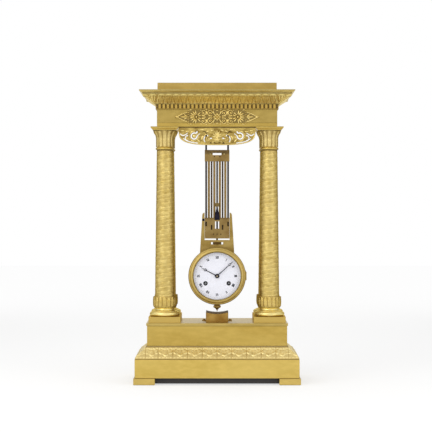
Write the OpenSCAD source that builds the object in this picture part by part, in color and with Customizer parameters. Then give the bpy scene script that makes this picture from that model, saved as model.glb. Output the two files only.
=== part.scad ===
// Gilt portico clock. Four columns on a stepped plinth carry an entablature, and the
// movement hangs between them as the bob of a gridiron pendulum on a knife edge.
// Millimetres. +Z is up, the dial faces -Y, and the origin lies on the standing
// surface below the middle of the clock.

/* [Feet and base] */
// Side of each square foot
foot_w = 41.5; // [34:0.5:48]
// Height of the feet
foot_h = 13; // [10:0.5:18]
// How far a foot stands out past the base block
foot_reveal = 2.5; // [0.5:0.5:5]
// Gap between the sole board and the standing surface
sole_lift = 1.5; // [0.5:0.5:4]
// How far the sole board is set back from the base block
sole_setback = 15; // [8:1:22]
// Height of the base block
base_h = 36; // [28:1:46]
// Wall of the hollow castings
wall = 4; // [3:0.5:6]
// Height of the leaf moulding above the base block
leaf_h = 24.5; // [18:0.5:30]
// How far the leaf moulding spreads past the plinth
leaf_spread = 23; // [16:0.5:30]

/* [Plinth] */
// How far the plinth block stands out past the column tiles, left and right
plinth_margin_x = 2.7; // [1:0.1:8]
// How far the plinth block stands out past the column tiles, front and rear
plinth_margin_y = 3; // [1:0.1:8]
// Height of the plinth block that shows above the leaf moulding
plinth_h = 39; // [30:1:50]
// Thickness of the slab on the plinth
slab_t = 5; // [4:0.5:8]
// How far the slab stands out past the plinth block
slab_reveal = 1.5; // [0.5:0.5:4]

/* [Columns] */
// Column axes, in from the ends of the frieze
column_inset_x = 15.2; // [13:0.1:20]
// Column axes, in from the front and rear of the frieze
column_inset_y = 15.5; // [13:0.1:18]
// Side of the square tile under each column
tile_w = 62; // [56:1:64]
// Height of the square tile
tile_h = 12; // [8:0.5:16]
// Diameter of the torus on the tile
torus_d = 59.5; // [54:0.5:61]
// Height of the torus
torus_h = 9; // [7:0.5:11]
// Height of the hollow neck between torus and collar
neck_h = 8.5; // [6:0.5:11]
// Diameter of the leaf collar
collar_d = 48; // [46:0.5:52]
// Height of the leaf collar
collar_h = 21; // [16:0.5:26]
// Floor of the leaf collar, on which the shaft stands
collar_floor = 4; // [3:0.5:6]
// Count of leaves round the collar
collar_leaves = 16; // [10:1:18]
// Diameter of the shaft at its foot
shaft_foot_d = 40; // [36:0.5:42]
// Diameter of the shaft at its head
shaft_head_d = 32.6; // [30:0.2:35]
// Wall of the hollow shaft
shaft_wall = 3; // [2:0.5:5]
// Length of shaft that shows between collar and capital
shaft_h = 286; // [260:1:310]
// Height of the ring below the capital's bell
astragal_h = 6.7; // [5:0.1:9]
// Height of the capital's bell
bell_h = 32; // [24:0.1:34]
// Height of the abacus
abacus_h = 7.3; // [6:0.1:10]
// Width of the abacus at its upper edge
abacus_w = 54.4; // [50:0.2:58]
// How far the abacus draws in towards its lower edge
abacus_draw = 4.2; // [2:0.1:6]
// Diameter of the tie rod through each column
rod_d = 8; // [6:0.5:10]

/* [Entablature] */
// Width of the architrave and frieze
frieze_w = 235; // [228:1:246]
// Depth of the architrave and frieze
frieze_d = 103; // [98:1:112]
// Height of the architrave slab
architrave_h = 7.5; // [7:0.5:13]
// Height of the plain frieze
frieze_h = 26.5; // [22:0.5:34]
// Height of the fillet under the dentils
fillet_h = 1.5; // [1.5:0.5:7]
// Height of the dentils
dentil_h = 8; // [4:0.5:9]
// How far the fillet stands out past the frieze
fillet_reveal = 2.5; // [1:0.5:4]
// How far the dentils stand out past the fillet's backing
dentil_depth = 2.2; // [1:0.2:4]
// Width of one dentil
dentil_w = 4.6; // [3:0.1:6]
// Pitch of the dentils
dentil_pitch = 8; // [7:0.1:10]
// Height of the leaf cornice
cornice_h = 19.7; // [15:0.1:25]
// How far the leaf cornice stands out past the frieze
cornice_spread = 27; // [20:0.5:32]
// Height of the corona
corona_h = 7.2; // [5:0.1:10]
// How far the corona stands out past the frieze
corona_spread = 33.5; // [29:0.5:38]
// Height of the attic block
attic_h = 15.6; // [12:0.1:22]
// How far the attic block is set back from the frieze
attic_setback = 1; // [0:0.5:6]

/* [Gilt ornament] */
// Thickness of the pierced apron
apron_t = 3; // [2:0.5:5]
// Drop of the pierced apron below the architrave
apron_drop = 36; // [32:0.1:38]
// How far the apron is set back from the frieze
apron_setback = 1.5; // [0:0.5:6]
// Width of the apron's rim
apron_rim = 2; // [1.6:0.1:2.6]
// Thickness of the scroll mount on the frieze
mount_t = 2.5; // [1.5:0.5:4]
// Height of the scroll mount at its middle
mount_h = 30; // [24:0.5:32]
// Width of the scroll mount
mount_w = 166; // [150:1:172]

/* [Suspension and pendulum] */
// Height of the knife edge above the architrave
pivot_rise = 10.5; // [9:0.5:14]
// Half angle of the knife edge
knife_half = 25; // [20:1:30]
// Distance between the two outer rods
hanger_span = 43.6; // [38:0.2:44]
// Diameter of the two outer rods
hanger_d = 3.6; // [3:0.1:3.8]
// Diameter of the inner steel rods
inner_d = 3.4; // [2.2:0.1:3.6]
// Diameter of the brass rods
brass_d = 4.6; // [3:0.1:4.8]
// Height of the gridiron's top bar
top_bar_h = 22.7; // [18:0.1:28]
// Drop from the knife edge to the top of the top bar
top_bar_drop = 61.6; // [58:0.2:66]
// Thickness of the gridiron's bars
bar_t = 9; // [7:0.5:11]
// Height of the lower block of the gridiron
lower_block_h = 41.4; // [36:0.2:46]
// Gap under the lower block, in which the drum can be raised
lift_gap = 3; // [2:0.1:5]
// Diameter of the rating nut
nut_d = 17; // [14:0.5:20]
// Height of the rating nut
nut_h = 4; // [3:0.1:5]

/* [Clock drum] */
// Wall of the drum
drum_wall = 2; // [1.5:0.1:2.5]
// Length of the drum, front to rear
drum_len = 66; // [64:0.5:72]
// Diameter of dial that shows inside the bezel
sight_d = 92.4; // [88:0.2:98]
// Breadth of the bezel's band round the dial
bezel_band = 10.3; // [9:0.1:12]
// How far the bezel stands out past the drum
bezel_reveal = 3; // [2:0.1:4]
// Height of the pointer below the drum
finial_h = 18; // [16:0.2:24]
// Thickness of the bezel
bezel_t = 8.2; // [7.6:0.1:9.5]
// Thickness of the glass
glass_t = 1.5; // [1:0.1:1.8]
// Rise of the domed glass
glass_rise = 7; // [5.5:0.1:9]
// Thickness of the enamel dial
dial_t = 1.5; // [1:0.1:1.8]
// Diameter of a winding hole
winding_hole_d = 8; // [7:0.2:9.4]
// Winding holes, right and left of the dial's middle
winding_x = 22.8; // [22.2:0.1:23.4]
// Winding holes, below the dial's middle
winding_drop = 14.4; // [13.8:0.1:15]
// Length of the minute hand from its axis
minute_len = 42.8; // [38:0.2:44]
// Length of the hour hand from its axis
hour_len = 33.6; // [28:0.2:36]
// Angle of the minute hand at rest, clockwise from 12
minute_at = 47.5; // [0:0.5:359.5]
// Angle of the hour hand at rest, clockwise from 12
hour_at = 297.5; // [0:0.5:359.5]
// Thickness of the movement plates
plate_t = 2; // [1.5:0.1:2.2]
// Distance between the movement plates
plate_gap = 30; // [29.5:0.1:31]

/* [Beat scale] */
// Width of the scale block
scale_w = 44; // [38:1:52]
// Depth of the scale block
scale_d = 66; // [40:1:72]
// Height of the scale block at its middle
scale_h = 15.5; // [12:0.5:16]
// Radius of the hollow in its top
scale_hollow_r = 80; // [70:1:120]
// Gap between the pointer's tip and the scale
tip_gap = 3; // [1.8:0.1:4]

/* [Hidden] */

$fn = 96;

// Clearances: press for pieces fixed together, run for pivots, free for moving neighbours
press = 0.05;
run = 0.08;
free = 0.3;
// Overlap of a cutting tool past the face it cuts
over = 1;

gilt = "goldenrod";
brass = "darkkhaki";
steel = "slategray";
blued = "midnightblue";

// Heights of the case, from the standing surface up
base_z = foot_h;
leaf_z = base_z + base_h;
plinth_z = leaf_z + leaf_h;
slab_z = plinth_z + plinth_h;
tile_z = slab_z + slab_t;
torus_z = tile_z + tile_h;
neck_z = torus_z + torus_h;
collar_z = neck_z + neck_h;
shaft_z = collar_z + collar_h;
astragal_z = shaft_z + shaft_h;
bell_z = astragal_z + astragal_h;
abacus_z = bell_z + bell_h;
architrave_z = abacus_z + abacus_h;
frieze_z = architrave_z + architrave_h;
fillet_z = frieze_z + frieze_h;
dentil_z = fillet_z + fillet_h;
cornice_z = dentil_z + dentil_h;
corona_z = cornice_z + cornice_h;
attic_z = corona_z + corona_h;

// Plan of the case, from the frieze out
column_span_x = frieze_w - 2 * column_inset_x;
column_span_y = frieze_d - 2 * column_inset_y;
plinth_w = column_span_x + tile_w + 2 * plinth_margin_x;
plinth_d = column_span_y + tile_w + 2 * plinth_margin_y;
base_w = plinth_w + 2 * leaf_spread;
base_d = plinth_d + 2 * leaf_spread;

// Drum sizes, from the dial that shows out
bezel_d = sight_d + 2 * bezel_band;
drum_r = bezel_d / 2 - bezel_reveal;
// Pendulum heights. The rods reach from the knife edge to the drum, which stands above the scale.
pivot_z = frieze_z + pivot_rise;
tip_z = tile_z + scale_h + tip_gap;
dial_z = tip_z + finial_h + drum_r;
top_bar_z = pivot_z - top_bar_drop - top_bar_h;
rod_pitch = hanger_span / 8;
rod_seat = 9;
brass_seat = 7;
hanger_seat = 26;
yoke_bar_h = 16.6;
yoke_wrap = 15;
yoke_z = dial_z + drum_r - yoke_wrap;
lower_block_z = dial_z + drum_r + yoke_bar_h + lift_gap;
lower_block_top = lower_block_z + lower_block_h;
lower_block_margin = 3;
cheek_gap = hanger_span + 2 * lower_block_margin;

// Drum places, front to rear
dial_recess = 1.5;
under_dial = 6;
drum_front = -drum_len / 2;
drum_rear = drum_len / 2;
bezel_back = drum_front - free;
cover_front = drum_rear + free;
dial_front = drum_front + dial_recess;
dial_back = dial_front + dial_t;
plate_front = dial_back + under_dial;
plate_back = plate_front + plate_t;
back_plate_front = plate_back + plate_gap;
back_plate_rear = back_plate_front + plate_t;

// Gears: modules and tooth counts, and where their arbors stand about the dial's middle
cannon_n = 12;
minute_wheel_n = 36;
minute_pinion_n = 10;
hour_wheel_n = 40;
motion_distance = 12;
cannon_m = 2 * motion_distance / (cannon_n + minute_wheel_n);
hour_m = 2 * motion_distance / (minute_pinion_n + hour_wheel_n);
great_n = 70;
great_m = 0.5;
leaf_n = 10;
inter_n = 66;
inter_m = 0.4;
centre_n = 80;
centre_m = 0.33;
small_n = 8;
third_n = 80;
third_m = 0.3;
escape_n = 32;
escape_r = 9;
barrel_pos = [winding_x, -winding_drop];
strike_pos = [-winding_x, -winding_drop];
centre_pos = [0, 0];
inter_from_barrel = great_m * (great_n + leaf_n) / 2;
inter_from_centre = inter_m * (inter_n + leaf_n) / 2;
inter_pos = meet(barrel_pos, inter_from_barrel, centre_pos, inter_from_centre);
third_distance = centre_m * (centre_n + small_n) / 2;
third_angle = 110;
third_pos = polar(third_distance, third_angle);
escape_distance = third_m * (third_n + small_n) / 2;
escape_pos = [0, third_pos[1] + sqrt(escape_distance ^ 2 - third_pos[0] ^ 2)];
anchor_distance = 12.5;
anchor_pos = escape_pos + [0, anchor_distance];
minute_wheel_pos = [0, motion_distance];
hammer_pos = [30, 26];
bell_pos = [0, -4];
pivot_r = 0.8;
arbor_r = 1;
winding_r = 2.5;

// Crossing of the circle of radius a about p and the circle of radius b about q, on the left of p to q
function meet(p, a, q, b) =
    let (d = norm(q - p), u = (q - p) / d, k = (a ^ 2 - b ^ 2 + d ^ 2) / (2 * d))
    p + k * u + sqrt(a ^ 2 - k ^ 2) * [u[1], -u[0]];

// The point at radius r in the direction a
function polar(r, a) = r * [cos(a), sin(a)];

// Points of an arc, as steps along it
function arc(c, r, from, to, steps = 12) =
    [for (i = [0:steps]) c + polar(r, from + (to - from) * i / steps)];

// An ogee slope between two [offset, height] points: straight, with its ends turned upright
function ogee(a, b, curl = 0.35, steps = 12) =
    [for (i = [0:steps]) let (t = i / steps, s = (1 - curl) * t + curl * (1 - cos(180 * t)) / 2)
        [a[0] + (b[0] - a[0]) * s, a[1] + (b[1] - a[1]) * t]];

// Direction from p to q, in degrees
function toward(p, q) = atan2(q[1] - p[1], q[0] - p[0]);

// A rectangular block whose four sides follow one moulding profile of [offset, height] points
module mitred(w, d, profile) {
    intersection() {
        rotate([90, 0, 0]) moulding_prism(w, d + 2 * w, profile);
        rotate([90, 0, 90]) moulding_prism(d, w + 2 * d, profile);
    }
}

module moulding_prism(w, length, profile) {
    right = [for (p = profile) [w / 2 + p[0], p[1]]];
    left = [for (i = [len(profile) - 1:-1:0]) [-w / 2 - profile[i][0], profile[i][1]]];
    linear_extrude(length, center = true) polygon(concat(right, left));
}

// A block centred on the vertical axis, standing on z
module block(w, d, z, h) {
    translate([-w / 2, -d / 2, z]) cube([w, d, h]);
}

// The four column places
module at_columns() {
    for (x = [-1, 1], y = [-1, 1])
        translate([x * column_span_x / 2, y * column_span_y / 2, 0]) children();
}

// Children drawn in the dial's plane, x to the right and y up, extruded towards the viewer from depth y
module at_dial(pos, y) {
    translate([pos[0], y, dial_z + pos[1]]) rotate([90, 0, 0]) children();
}

// A round bar along the depth axis, from y_front to y_rear
module depth_rod(pos, y_front, y_rear, r) {
    at_dial(pos, y_rear) cylinder(r = r, h = y_rear - y_front);
}

// Feet and base

module sole_board() {
    color("#26221f") difference() {
        block(base_w - 2 * sole_setback, base_d - 2 * sole_setback, sole_lift, foot_h - sole_lift + wall);
        at_feet() block(foot_w + 2 * free, foot_w + 2 * free, sole_lift - over, foot_h + wall + 2 * over);
    }
}

module at_feet() {
    for (x = [-1, 1], y = [-1, 1])
        translate([x * (base_w + 2 * foot_reveal - foot_w), y * (base_d + 2 * foot_reveal - foot_w), 0] / 2)
            children();
}

module feet() {
    edge = 0.8;
    profile = [[-edge, 0], [0, edge], [0, foot_h - edge], [-edge, foot_h]];
    color(gilt) at_feet() mitred(foot_w, foot_w, profile);
}

module base_block() {
    color(gilt) difference() {
        block(base_w, base_d, base_z, base_h);
        block(base_w - 2 * wall, base_d - 2 * wall, base_z - over, base_h - wall + over);
        block(plinth_w - 4 * wall, plinth_d - 4 * wall, base_z, base_h + over);
    }
}

module base_leaf_moulding() {
    lip = 2;
    shell = 1.6 * wall;
    profile = concat([[leaf_spread - 0.5, 0]],
        ogee([leaf_spread - 0.5, lip], [lip + 0.5, leaf_h - lip - 0.5]),
        [[lip, leaf_h - lip], [lip, leaf_h]]);
    hollow = [[leaf_spread - shell, -over], [leaf_spread - shell, lip], [0, leaf_h - lip - shell]];
    color(gilt) translate([0, 0, leaf_z]) difference() {
        mitred(plinth_w, plinth_d, profile);
        mitred(plinth_w, plinth_d, hollow);
        block(plinth_w + 2 * press, plinth_d + 2 * press, -over, leaf_h + 2 * over);
    }
}

// Plinth

module plinth_block() {
    color(gilt) difference() {
        block(plinth_w, plinth_d, leaf_z, leaf_h + plinth_h);
        block(plinth_w - 2 * wall, plinth_d - 2 * wall, leaf_z - over, leaf_h + plinth_h + 2 * over);
    }
}

module plinth_slab() {
    color(gilt) difference() {
        block(plinth_w + 2 * slab_reveal, plinth_d + 2 * slab_reveal, slab_z, slab_t);
        at_columns() rod_hole(slab_z, slab_t);
        at_scale_screws() cylinder(r = screw_r + press, h = 3 * slab_t, center = true);
    }
}

module rod_hole(z, h) {
    translate([0, 0, z - over]) cylinder(d = rod_d + 2 * free, h = h + 2 * over);
}

// Columns

module column_bases() {
    torus_r = torus_d / 2;
    bead = torus_h / 2;
    neck_r = shaft_foot_d / 2 + 0.7;
    ledge_r = torus_r - bead;
    outline = concat([[0, 0]],
        arc([ledge_r, bead], bead, -90, 90),
        [[ledge_r - 0.5, torus_h], [ledge_r - 0.5, torus_h + 1]],
        arc([ledge_r - 0.5, torus_h + neck_h - 1.5], neck_h - 2.5, 270, 190, 8),
        [[neck_r, torus_h + neck_h - 1.5], [neck_r + 1, torus_h + neck_h], [0, torus_h + neck_h]]);
    color(gilt) at_columns() difference() {
        union() {
            block(tile_w, tile_w, tile_z, tile_h);
            translate([0, 0, torus_z]) rotate_extrude() polygon(outline);
        }
        rod_hole(tile_z, collar_z - tile_z);
    }
}

module column_collars() {
    r = collar_d / 2;
    bore = shaft_foot_d / 2 + press;
    outline = concat([[0, 0], [r - 2, 0], [r - 1.2, 1.6]],
        arc([r - 9.2, collar_h * 0.5], 9.2, -44, 40, 3),
        [[r - 1.2, collar_h - 1.6], [r - 0.4, collar_h], [0, collar_h]]);
    flute = 1.5;
    color(gilt) at_columns() translate([0, 0, collar_z]) difference() {
        rotate_extrude() polygon(outline);
        translate([0, 0, collar_floor]) cylinder(r = bore, h = collar_h);
        rod_hole(0, collar_h);
        for (i = [0:collar_leaves - 1])
            rotate(360 * i / collar_leaves) translate([r + 0.35 * flute, 0, 2.2])
                cylinder(r = flute, h = collar_h);
    }
}

module column_shafts() {
    foot = collar_z + collar_floor;
    length = astragal_z - foot;
    color(gilt) at_columns() translate([0, 0, foot]) difference() {
        cylinder(d1 = shaft_foot_d, d2 = shaft_head_d, h = length);
        cylinder(d1 = shaft_foot_d - 2 * shaft_wall, d2 = shaft_head_d - 2 * shaft_wall, h = length);
    }
}

module column_capitals() {
    neck_r = shaft_head_d / 2;
    ring_r = neck_r + 1.9;
    bead = astragal_h / 2 - 0.6;
    lip_r = abacus_w / 2 - abacus_draw - 0.5;
    flare = lip_r - neck_r;
    flare_foot = astragal_h + bell_h * 0.45;
    flare_h = astragal_h + bell_h - flare_foot;
    flare_r = (flare_h * flare_h + flare * flare) / (2 * flare);
    outline = concat([[0, 0], [neck_r, 0]],
        arc([ring_r - bead, 0.6 + bead], bead, -80, 80, 8),
        [[neck_r, astragal_h]],
        arc([neck_r + flare_r, flare_foot], flare_r, 180, 180 - asin(flare_h / flare_r), 10),
        [[0, astragal_h + bell_h]]);
    abacus = concat([[-abacus_draw, 0], [-abacus_draw, 1]],
        ogee([-abacus_draw, 1], [0, abacus_h - 2], 0.4, 6), [[0, abacus_h]]);
    color(gilt) at_columns() difference() {
        union() {
            translate([0, 0, astragal_z]) rotate_extrude() polygon(outline);
            translate([0, 0, abacus_z]) mitred(abacus_w, abacus_w, abacus);
        }
        rod_hole(astragal_z, architrave_z - astragal_z);
    }
}

module tie_rods() {
    nut_w = 14;
    nut_t = 5;
    stub = 3;
    color(steel) at_columns() {
        translate([0, 0, slab_z - nut_t - stub])
            cylinder(d = rod_d, h = frieze_z - slab_z + 2 * (nut_t + stub));
        for (z = [slab_z - nut_t, frieze_z])
            translate([0, 0, z]) difference() {
                cylinder(d = nut_w, h = nut_t, $fn = 6);
                translate([0, 0, -over]) cylinder(d = rod_d + 2 * press, h = nut_t + 2 * over);
            }
    }
}

// Entablature

module architrave() {
    color(gilt) difference() {
        block(frieze_w, frieze_d, architrave_z, architrave_h);
        at_columns() rod_hole(architrave_z, architrave_h);
        block(hanger_slot_w, hanger_slot_d, architrave_z - over, architrave_h + 2 * over);
        at_cock_screws() cylinder(r = screw_r + press, h = 2 * screw_len, center = true);
    }
}

module frieze_box() {
    color(gilt) difference() {
        block(frieze_w, frieze_d, frieze_z, frieze_h);
        entablature_hollow(frieze_z, frieze_h);
    }
}

module entablature_hollow(z, h) {
    block(frieze_w - 2 * wall, frieze_d - 2 * wall, z - over, h + 2 * over);
}

// Outline of a rectangle whose sides carry a row of dentils
function dentil_side(length) =
    let (n = floor((length - dentil_w) / dentil_pitch), start = -n * dentil_pitch / 2)
    [for (i = [0:n], p = [[-1, 0], [-1, 1], [1, 1], [1, 0]])
        [start + i * dentil_pitch + p[0] * dentil_w / 2, p[1] * dentil_depth]];

module dentil_course() {
    w = frieze_w + 2 * fillet_reveal - 2 * dentil_depth;
    d = frieze_d + 2 * fillet_reveal - 2 * dentil_depth;
    front = [for (p = dentil_side(w)) [p[0], -d / 2 - p[1]]];
    right = [for (p = dentil_side(d)) [w / 2 + p[1], p[0]]];
    rear = [for (p = dentil_side(w)) [-p[0], d / 2 + p[1]]];
    left = [for (p = dentil_side(d)) [-w / 2 - p[1], -p[0]]];
    color(gilt) difference() {
        union() {
            block(frieze_w + 2 * fillet_reveal, frieze_d + 2 * fillet_reveal, fillet_z, fillet_h);
            translate([0, 0, dentil_z]) linear_extrude(dentil_h) polygon(concat(
                [[-w / 2, -d / 2]], front, [[w / 2, -d / 2]], right, [[w / 2, d / 2]], rear,
                [[-w / 2, d / 2]], left));
        }
        entablature_hollow(fillet_z, fillet_h + dentil_h);
    }
}

module cornice_moulding() {
    lip = 1.2;
    shell = 1.6 * wall;
    profile = concat([[fillet_reveal + 0.5, 0], [fillet_reveal + 0.5, lip]],
        ogee([fillet_reveal + 1, lip], [cornice_spread - 1, cornice_h - lip], 0.25),
        [[cornice_spread, cornice_h - lip], [cornice_spread, cornice_h]]);
    hollow = [[-wall, lip + shell], [cornice_spread - shell, cornice_h - lip],
        [cornice_spread - shell, cornice_h + over]];
    color(gilt) translate([0, 0, cornice_z]) difference() {
        mitred(frieze_w, frieze_d, profile);
        mitred(frieze_w, frieze_d, hollow);
        block(frieze_w - 2 * wall, frieze_d - 2 * wall, -over, cornice_h + 2 * over);
    }
}

module corona() {
    soffit = 1.5;
    edge = 1.8;
    profile = concat([[cornice_spread + 0.5, 0], [cornice_spread + 0.5, soffit]],
        ogee([cornice_spread + 1, soffit], [corona_spread, corona_h - edge], 0.3, 6),
        [[corona_spread, corona_h]]);
    color(gilt) translate([0, 0, corona_z]) difference() {
        mitred(frieze_w, frieze_d, profile);
        block(frieze_w - 2 * wall, frieze_d - 2 * wall, -over, corona_h - wall + over);
    }
}

module attic_block() {
    w = frieze_w - 2 * attic_setback;
    d = frieze_d - 2 * attic_setback;
    color(gilt) difference() {
        block(w, d, attic_z, attic_h);
        block(w - 2 * wall, d - 2 * wall, attic_z - over, attic_h - wall + over);
    }
}

// Gilt ornament, drawn flat with x to the right and y up

// Centre line of a volute: a spiral from outer radius a at angle from, in to radius b
function volute(c, a, b, from, turn, steps = 26) =
    [for (i = [0:steps]) let (t = i / steps) c + polar(a + (b - a) * t, from + turn * t)];

// A tapering ribbon along a centre line, from width a to width b
module ribbon(path, a, b) {
    n = len(path) - 1;
    side = [for (i = [0:n]) let (d = path[min(i + 1, n)] - path[max(i - 1, 0)])
        [-d[1], d[0]] / norm(d) * (a + (b - a) * i / n) / 2];
    polygon(concat([for (i = [0:n]) path[i] + side[i]], [for (i = [n:-1:0]) path[i] - side[i]]));
}

// A leaf with a pointed tip, from its foot at p, leaning at an angle
module leaf(p, angle, length, width) {
    bow = (length ^ 2 + width ^ 2) / (4 * width);
    translate(p) rotate(angle) intersection() {
        translate([length / 2, width / 2 - bow]) circle(r = bow, $fn = 48);
        translate([length / 2, bow - width / 2]) circle(r = bow, $fn = 48);
    }
}

// A scroll: a volute that closes on a round eye
module scroll(c, a, b, from, turn, thick) {
    ribbon(volute(c, a, b, from, turn), thick, thick * 0.7);
    translate(c) circle(r = b + thick * 0.35, $fn = 20);
}

module mirrored() {
    children();
    mirror([1, 0]) children();
}

apron_half = column_span_x / 2 - abacus_w / 2 - free;
apron_lead = 2;
apron_shoulder = apron_lead + 9;
// Half breadth and drop for which the apron's channels are drawn, below a plain lead.
// Width and height for which the mount is drawn.
apron_drawn = [74.8, 34];
mount_drawn = [166, 30];

// Half breadth of the apron's outline at its lower edge: a flattened arch
function apron_edge(inset) =
    let (a = apron_half - inset, b = apron_drop - apron_shoulder - inset, n = 3)
    [for (i = [0:36]) let (q = 180 + 5 * i, c = cos(q), s = sin(q))
        [a * sign(c) * abs(c) ^ (2 / n), -apron_shoulder - b * abs(s) ^ (2 / n)]];

module apron_outline(inset) {
    a = apron_half - inset;
    polygon(concat([[a, -inset], [-a, -inset]], apron_edge(inset)));
}

// Both halves of what is drawn on the apron, fitted to its size
module apron_drawing() {
    fit = [apron_half / apron_drawn[0], (apron_drop - apron_lead) / apron_drawn[1]];
    translate([0, -apron_lead]) scale(fit) mirrored() children();
}

// The plate is solid, and scroll-shaped channels pierced through it leave the volutes standing
module apron_design() {
    channel = 2.5;
    difference() {
        apron_outline(0);
        intersection() {
            apron_outline(apron_rim);
            apron_drawing() {
                ribbon(volute([44.7, -16.4], 6.4, 5.2, 125, -300), channel, channel);
                ribbon([[39.5, -17.6], [39, -15.6], [37, -13.8], [33.5, -11.4]], channel, 1.2);
                leaf([41, -11.4], 118, 5.4, 3);
                ribbon(volute([18.3, -22.2], 7, 7.4, 95, -150), channel, 1.2);
                leaf([9.6, -20.3], -8, 5.4, 2.6);
                ribbon([[57.6, -10.2], [62, -13.6], [67, -15.4]], 1.2, channel);
                ribbon([[67, -15.4], [70, -13.8], [73.4, -11]], channel, 1);
                ribbon(volute([57.5, -20.3], 5.2, 4.4, 100, -200), 2, 1.4);
                ribbon([[66.4, -20.6], [59.6, -25.4], [50.5, -28], [37.6, -30]], 1.2, 2);
            }
        }
    }
}

// Places where the chaser sinks the ground but doesn't pierce it
module apron_sunk() {
    apron_drawing() {
        ribbon([[28.4, -8.4], [24.4, -6.6], [19.6, -11.6]], 1.2, 2);
        polygon([[9.6, -31], [15.2, -31], [12.4, -27.6]]);
        leaf([2, -29.8], 8, 5, 1.8);
    }
}

module apron_fretwork() {
    color(gilt) translate([0, -frieze_d / 2 + apron_setback + apron_t, architrave_z - press])
        rotate([90, 0, 0]) difference() {
            linear_extrude(apron_t) offset(delta = 0.01) apron_design();
            translate([0, 0, apron_t / 2]) linear_extrude(apron_t) apron_sunk();
        }
}

// The frieze mount: a rosette, scrolls and sprays of leaves either side, and a bud at each end
module mount_design() {
    difference() {
        scale([mount_w / mount_drawn[0], mount_h / mount_drawn[1]]) {
            for (i = [0:7]) leaf([0, 0], i * 45, 9.5, 5.2);
            circle(r = 3.6, $fn = 32);
            mirrored() {
                for (k = [-1, 1]) {
                    scroll([15.5, k * 8], 6.4, 1.6, k * -120, k * 520, 2.3);
                    scroll([27.5, k * 5.6], 4.6, 1.4, k * -60, k * -480, 2);
                    ribbon([[8, 0], [12, k * 1.2], [18, k * 1.6], [25, k * 0.8], [36, 0]], 2.2, 2);
                    for (a = [24, 46, 70]) {
                        leaf([43, k * 0.5], k * a, 17.5 - a / 20, 4);
                        leaf([43, k * 0.5], k * (180 - a), 17.5 - a / 20, 4);
                    }
                    leaf([24, k * 8.5], k * 62, 7, 3.6);
                    leaf([6, k * 4], k * 58, 11, 4);
                    ribbon([[52, k * 3], [58, k * 6], [64, k * 6.6], [70, k * 4.8], [77, 0]], 2.2, 1.8);
                    leaf([58, k * 1], k * 28, 8, 3);
                }
                leaf([34, 0], 0, 18, 5);
                leaf([50, 0], 0, 17, 4.4);
                leaf([74, 0], 0, 9, 4.6);
            }
        }
        circle(r = 1.2, $fn = 16);
    }
}

module frieze_mount() {
    color(gilt) translate([0, -frieze_d / 2, fillet_z - mount_h / 2 - press])
        rotate([90, 0, 0]) linear_extrude(mount_t) offset(delta = 0.01) mount_design();
}

// Fasteners of the case

screw_r = 1.5;
screw_head_r = 2.6;
screw_head_h = 1.6;
screw_len = 6;
scale_ear = 7.5;
ear_t = 2;

module at_scale_screws() {
    for (x = [-1, 1]) translate([x * (scale_w / 2 + scale_ear / 2), 0, tile_z]) children();
}

module at_cock_screws() {
    for (x = [-1, 1], y = [-1, 1])
        translate([x * (cock_w / 2 - cock_screw_inset), y * (cock_d / 2 - cock_screw_inset), frieze_z])
            children();
}

module screw() {
    translate([0, 0, -screw_len]) cylinder(r = screw_r, h = screw_len);
    difference() {
        cylinder(r = screw_head_r, h = screw_head_h);
        translate([0, 0, screw_head_h]) cube([2 * screw_head_r + over, 0.6, 0.9], center = true);
    }
}

module case_screws() {
    color(brass) {
        at_scale_screws() translate([0, 0, ear_t]) screw();
        at_cock_screws() translate([0, 0, cock_t]) screw();
    }
}

// Suspension

hanger_slot_margin = 7.5;
hanger_slot_w = hanger_span + 2 * hanger_slot_margin;
hanger_slot_d = 16;
cock_margin = 11;
cock_w = hanger_slot_w + 2 * cock_margin;
cock_d = 52;
cock_t = 4;
cock_screw_inset = 4;
cheek_w = 22;
cheek_in = 14;
cheek_out = 20;
cheek_rise = 5;
notch_half = 60;
notch_h = 20;
knife_rest = 0.3;
knife_h = 8;
knife_end = 2;

module knife_outline(grow) {
    top = knife_h;
    half = top * tan(knife_half) + grow;
    polygon([[0, -grow], [half, top + grow], [-half, top + grow]]);
}

module suspension_cock() {
    notch_drop = (knife_rest + press) / sin(notch_half);
    color(brass) difference() {
        union() {
            block(cock_w, cock_d, frieze_z, cock_t);
            for (y = [-1, 1]) translate([0, y * (cheek_in + cheek_out) / 2, 0])
                block(cheek_w, cheek_out - cheek_in, frieze_z, pivot_rise + cheek_rise);
        }
        block(hanger_slot_w, hanger_slot_d, frieze_z - over, cock_t + 2 * over);
        translate([0, cock_d, pivot_z - notch_drop]) rotate([90, 0, 0]) linear_extrude(2 * cock_d)
            polygon([[0, 0], notch_h * [tan(notch_half), 1], notch_h * [-tan(notch_half), 1]]);
        at_cock_screws() cylinder(r = screw_r + press, h = 4 * cock_t, center = true);
    }
}

module knife_edge() {
    color(steel) translate([0, cheek_out + knife_end, pivot_z]) rotate([90, 0, 0])
        linear_extrude(2 * (cheek_out + knife_end)) {
            knife_outline(0);
            circle(r = knife_rest, $fn = 32);
        }
}

yoke_head_h = 11;
yoke_head_rise = 2;
yoke_head_z = pivot_z + yoke_head_rise;
yoke_head_d = 12;
yoke_head_margin = 6;

module suspension_yoke() {
    color(steel) difference() {
        block(hanger_span + 2 * yoke_head_margin, yoke_head_d, yoke_head_z, yoke_head_h);
        translate([0, yoke_head_d, pivot_z]) rotate([90, 0, 0])
            linear_extrude(2 * yoke_head_d) knife_outline(press);
        at_hangers(yoke_head_z - over) cylinder(r = hanger_d / 2 + press, h = yoke_head_h + 2 * over);
    }
}

module at_hangers(z) {
    for (x = [-1, 1]) translate([x * hanger_span / 2, 0, z]) children();
}

// Gridiron pendulum

hanger_foot = lower_block_top - hanger_seat;
hanger_nut_w = 7.5;
hanger_nut_t = 3;
hanger_end = 1;

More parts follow.
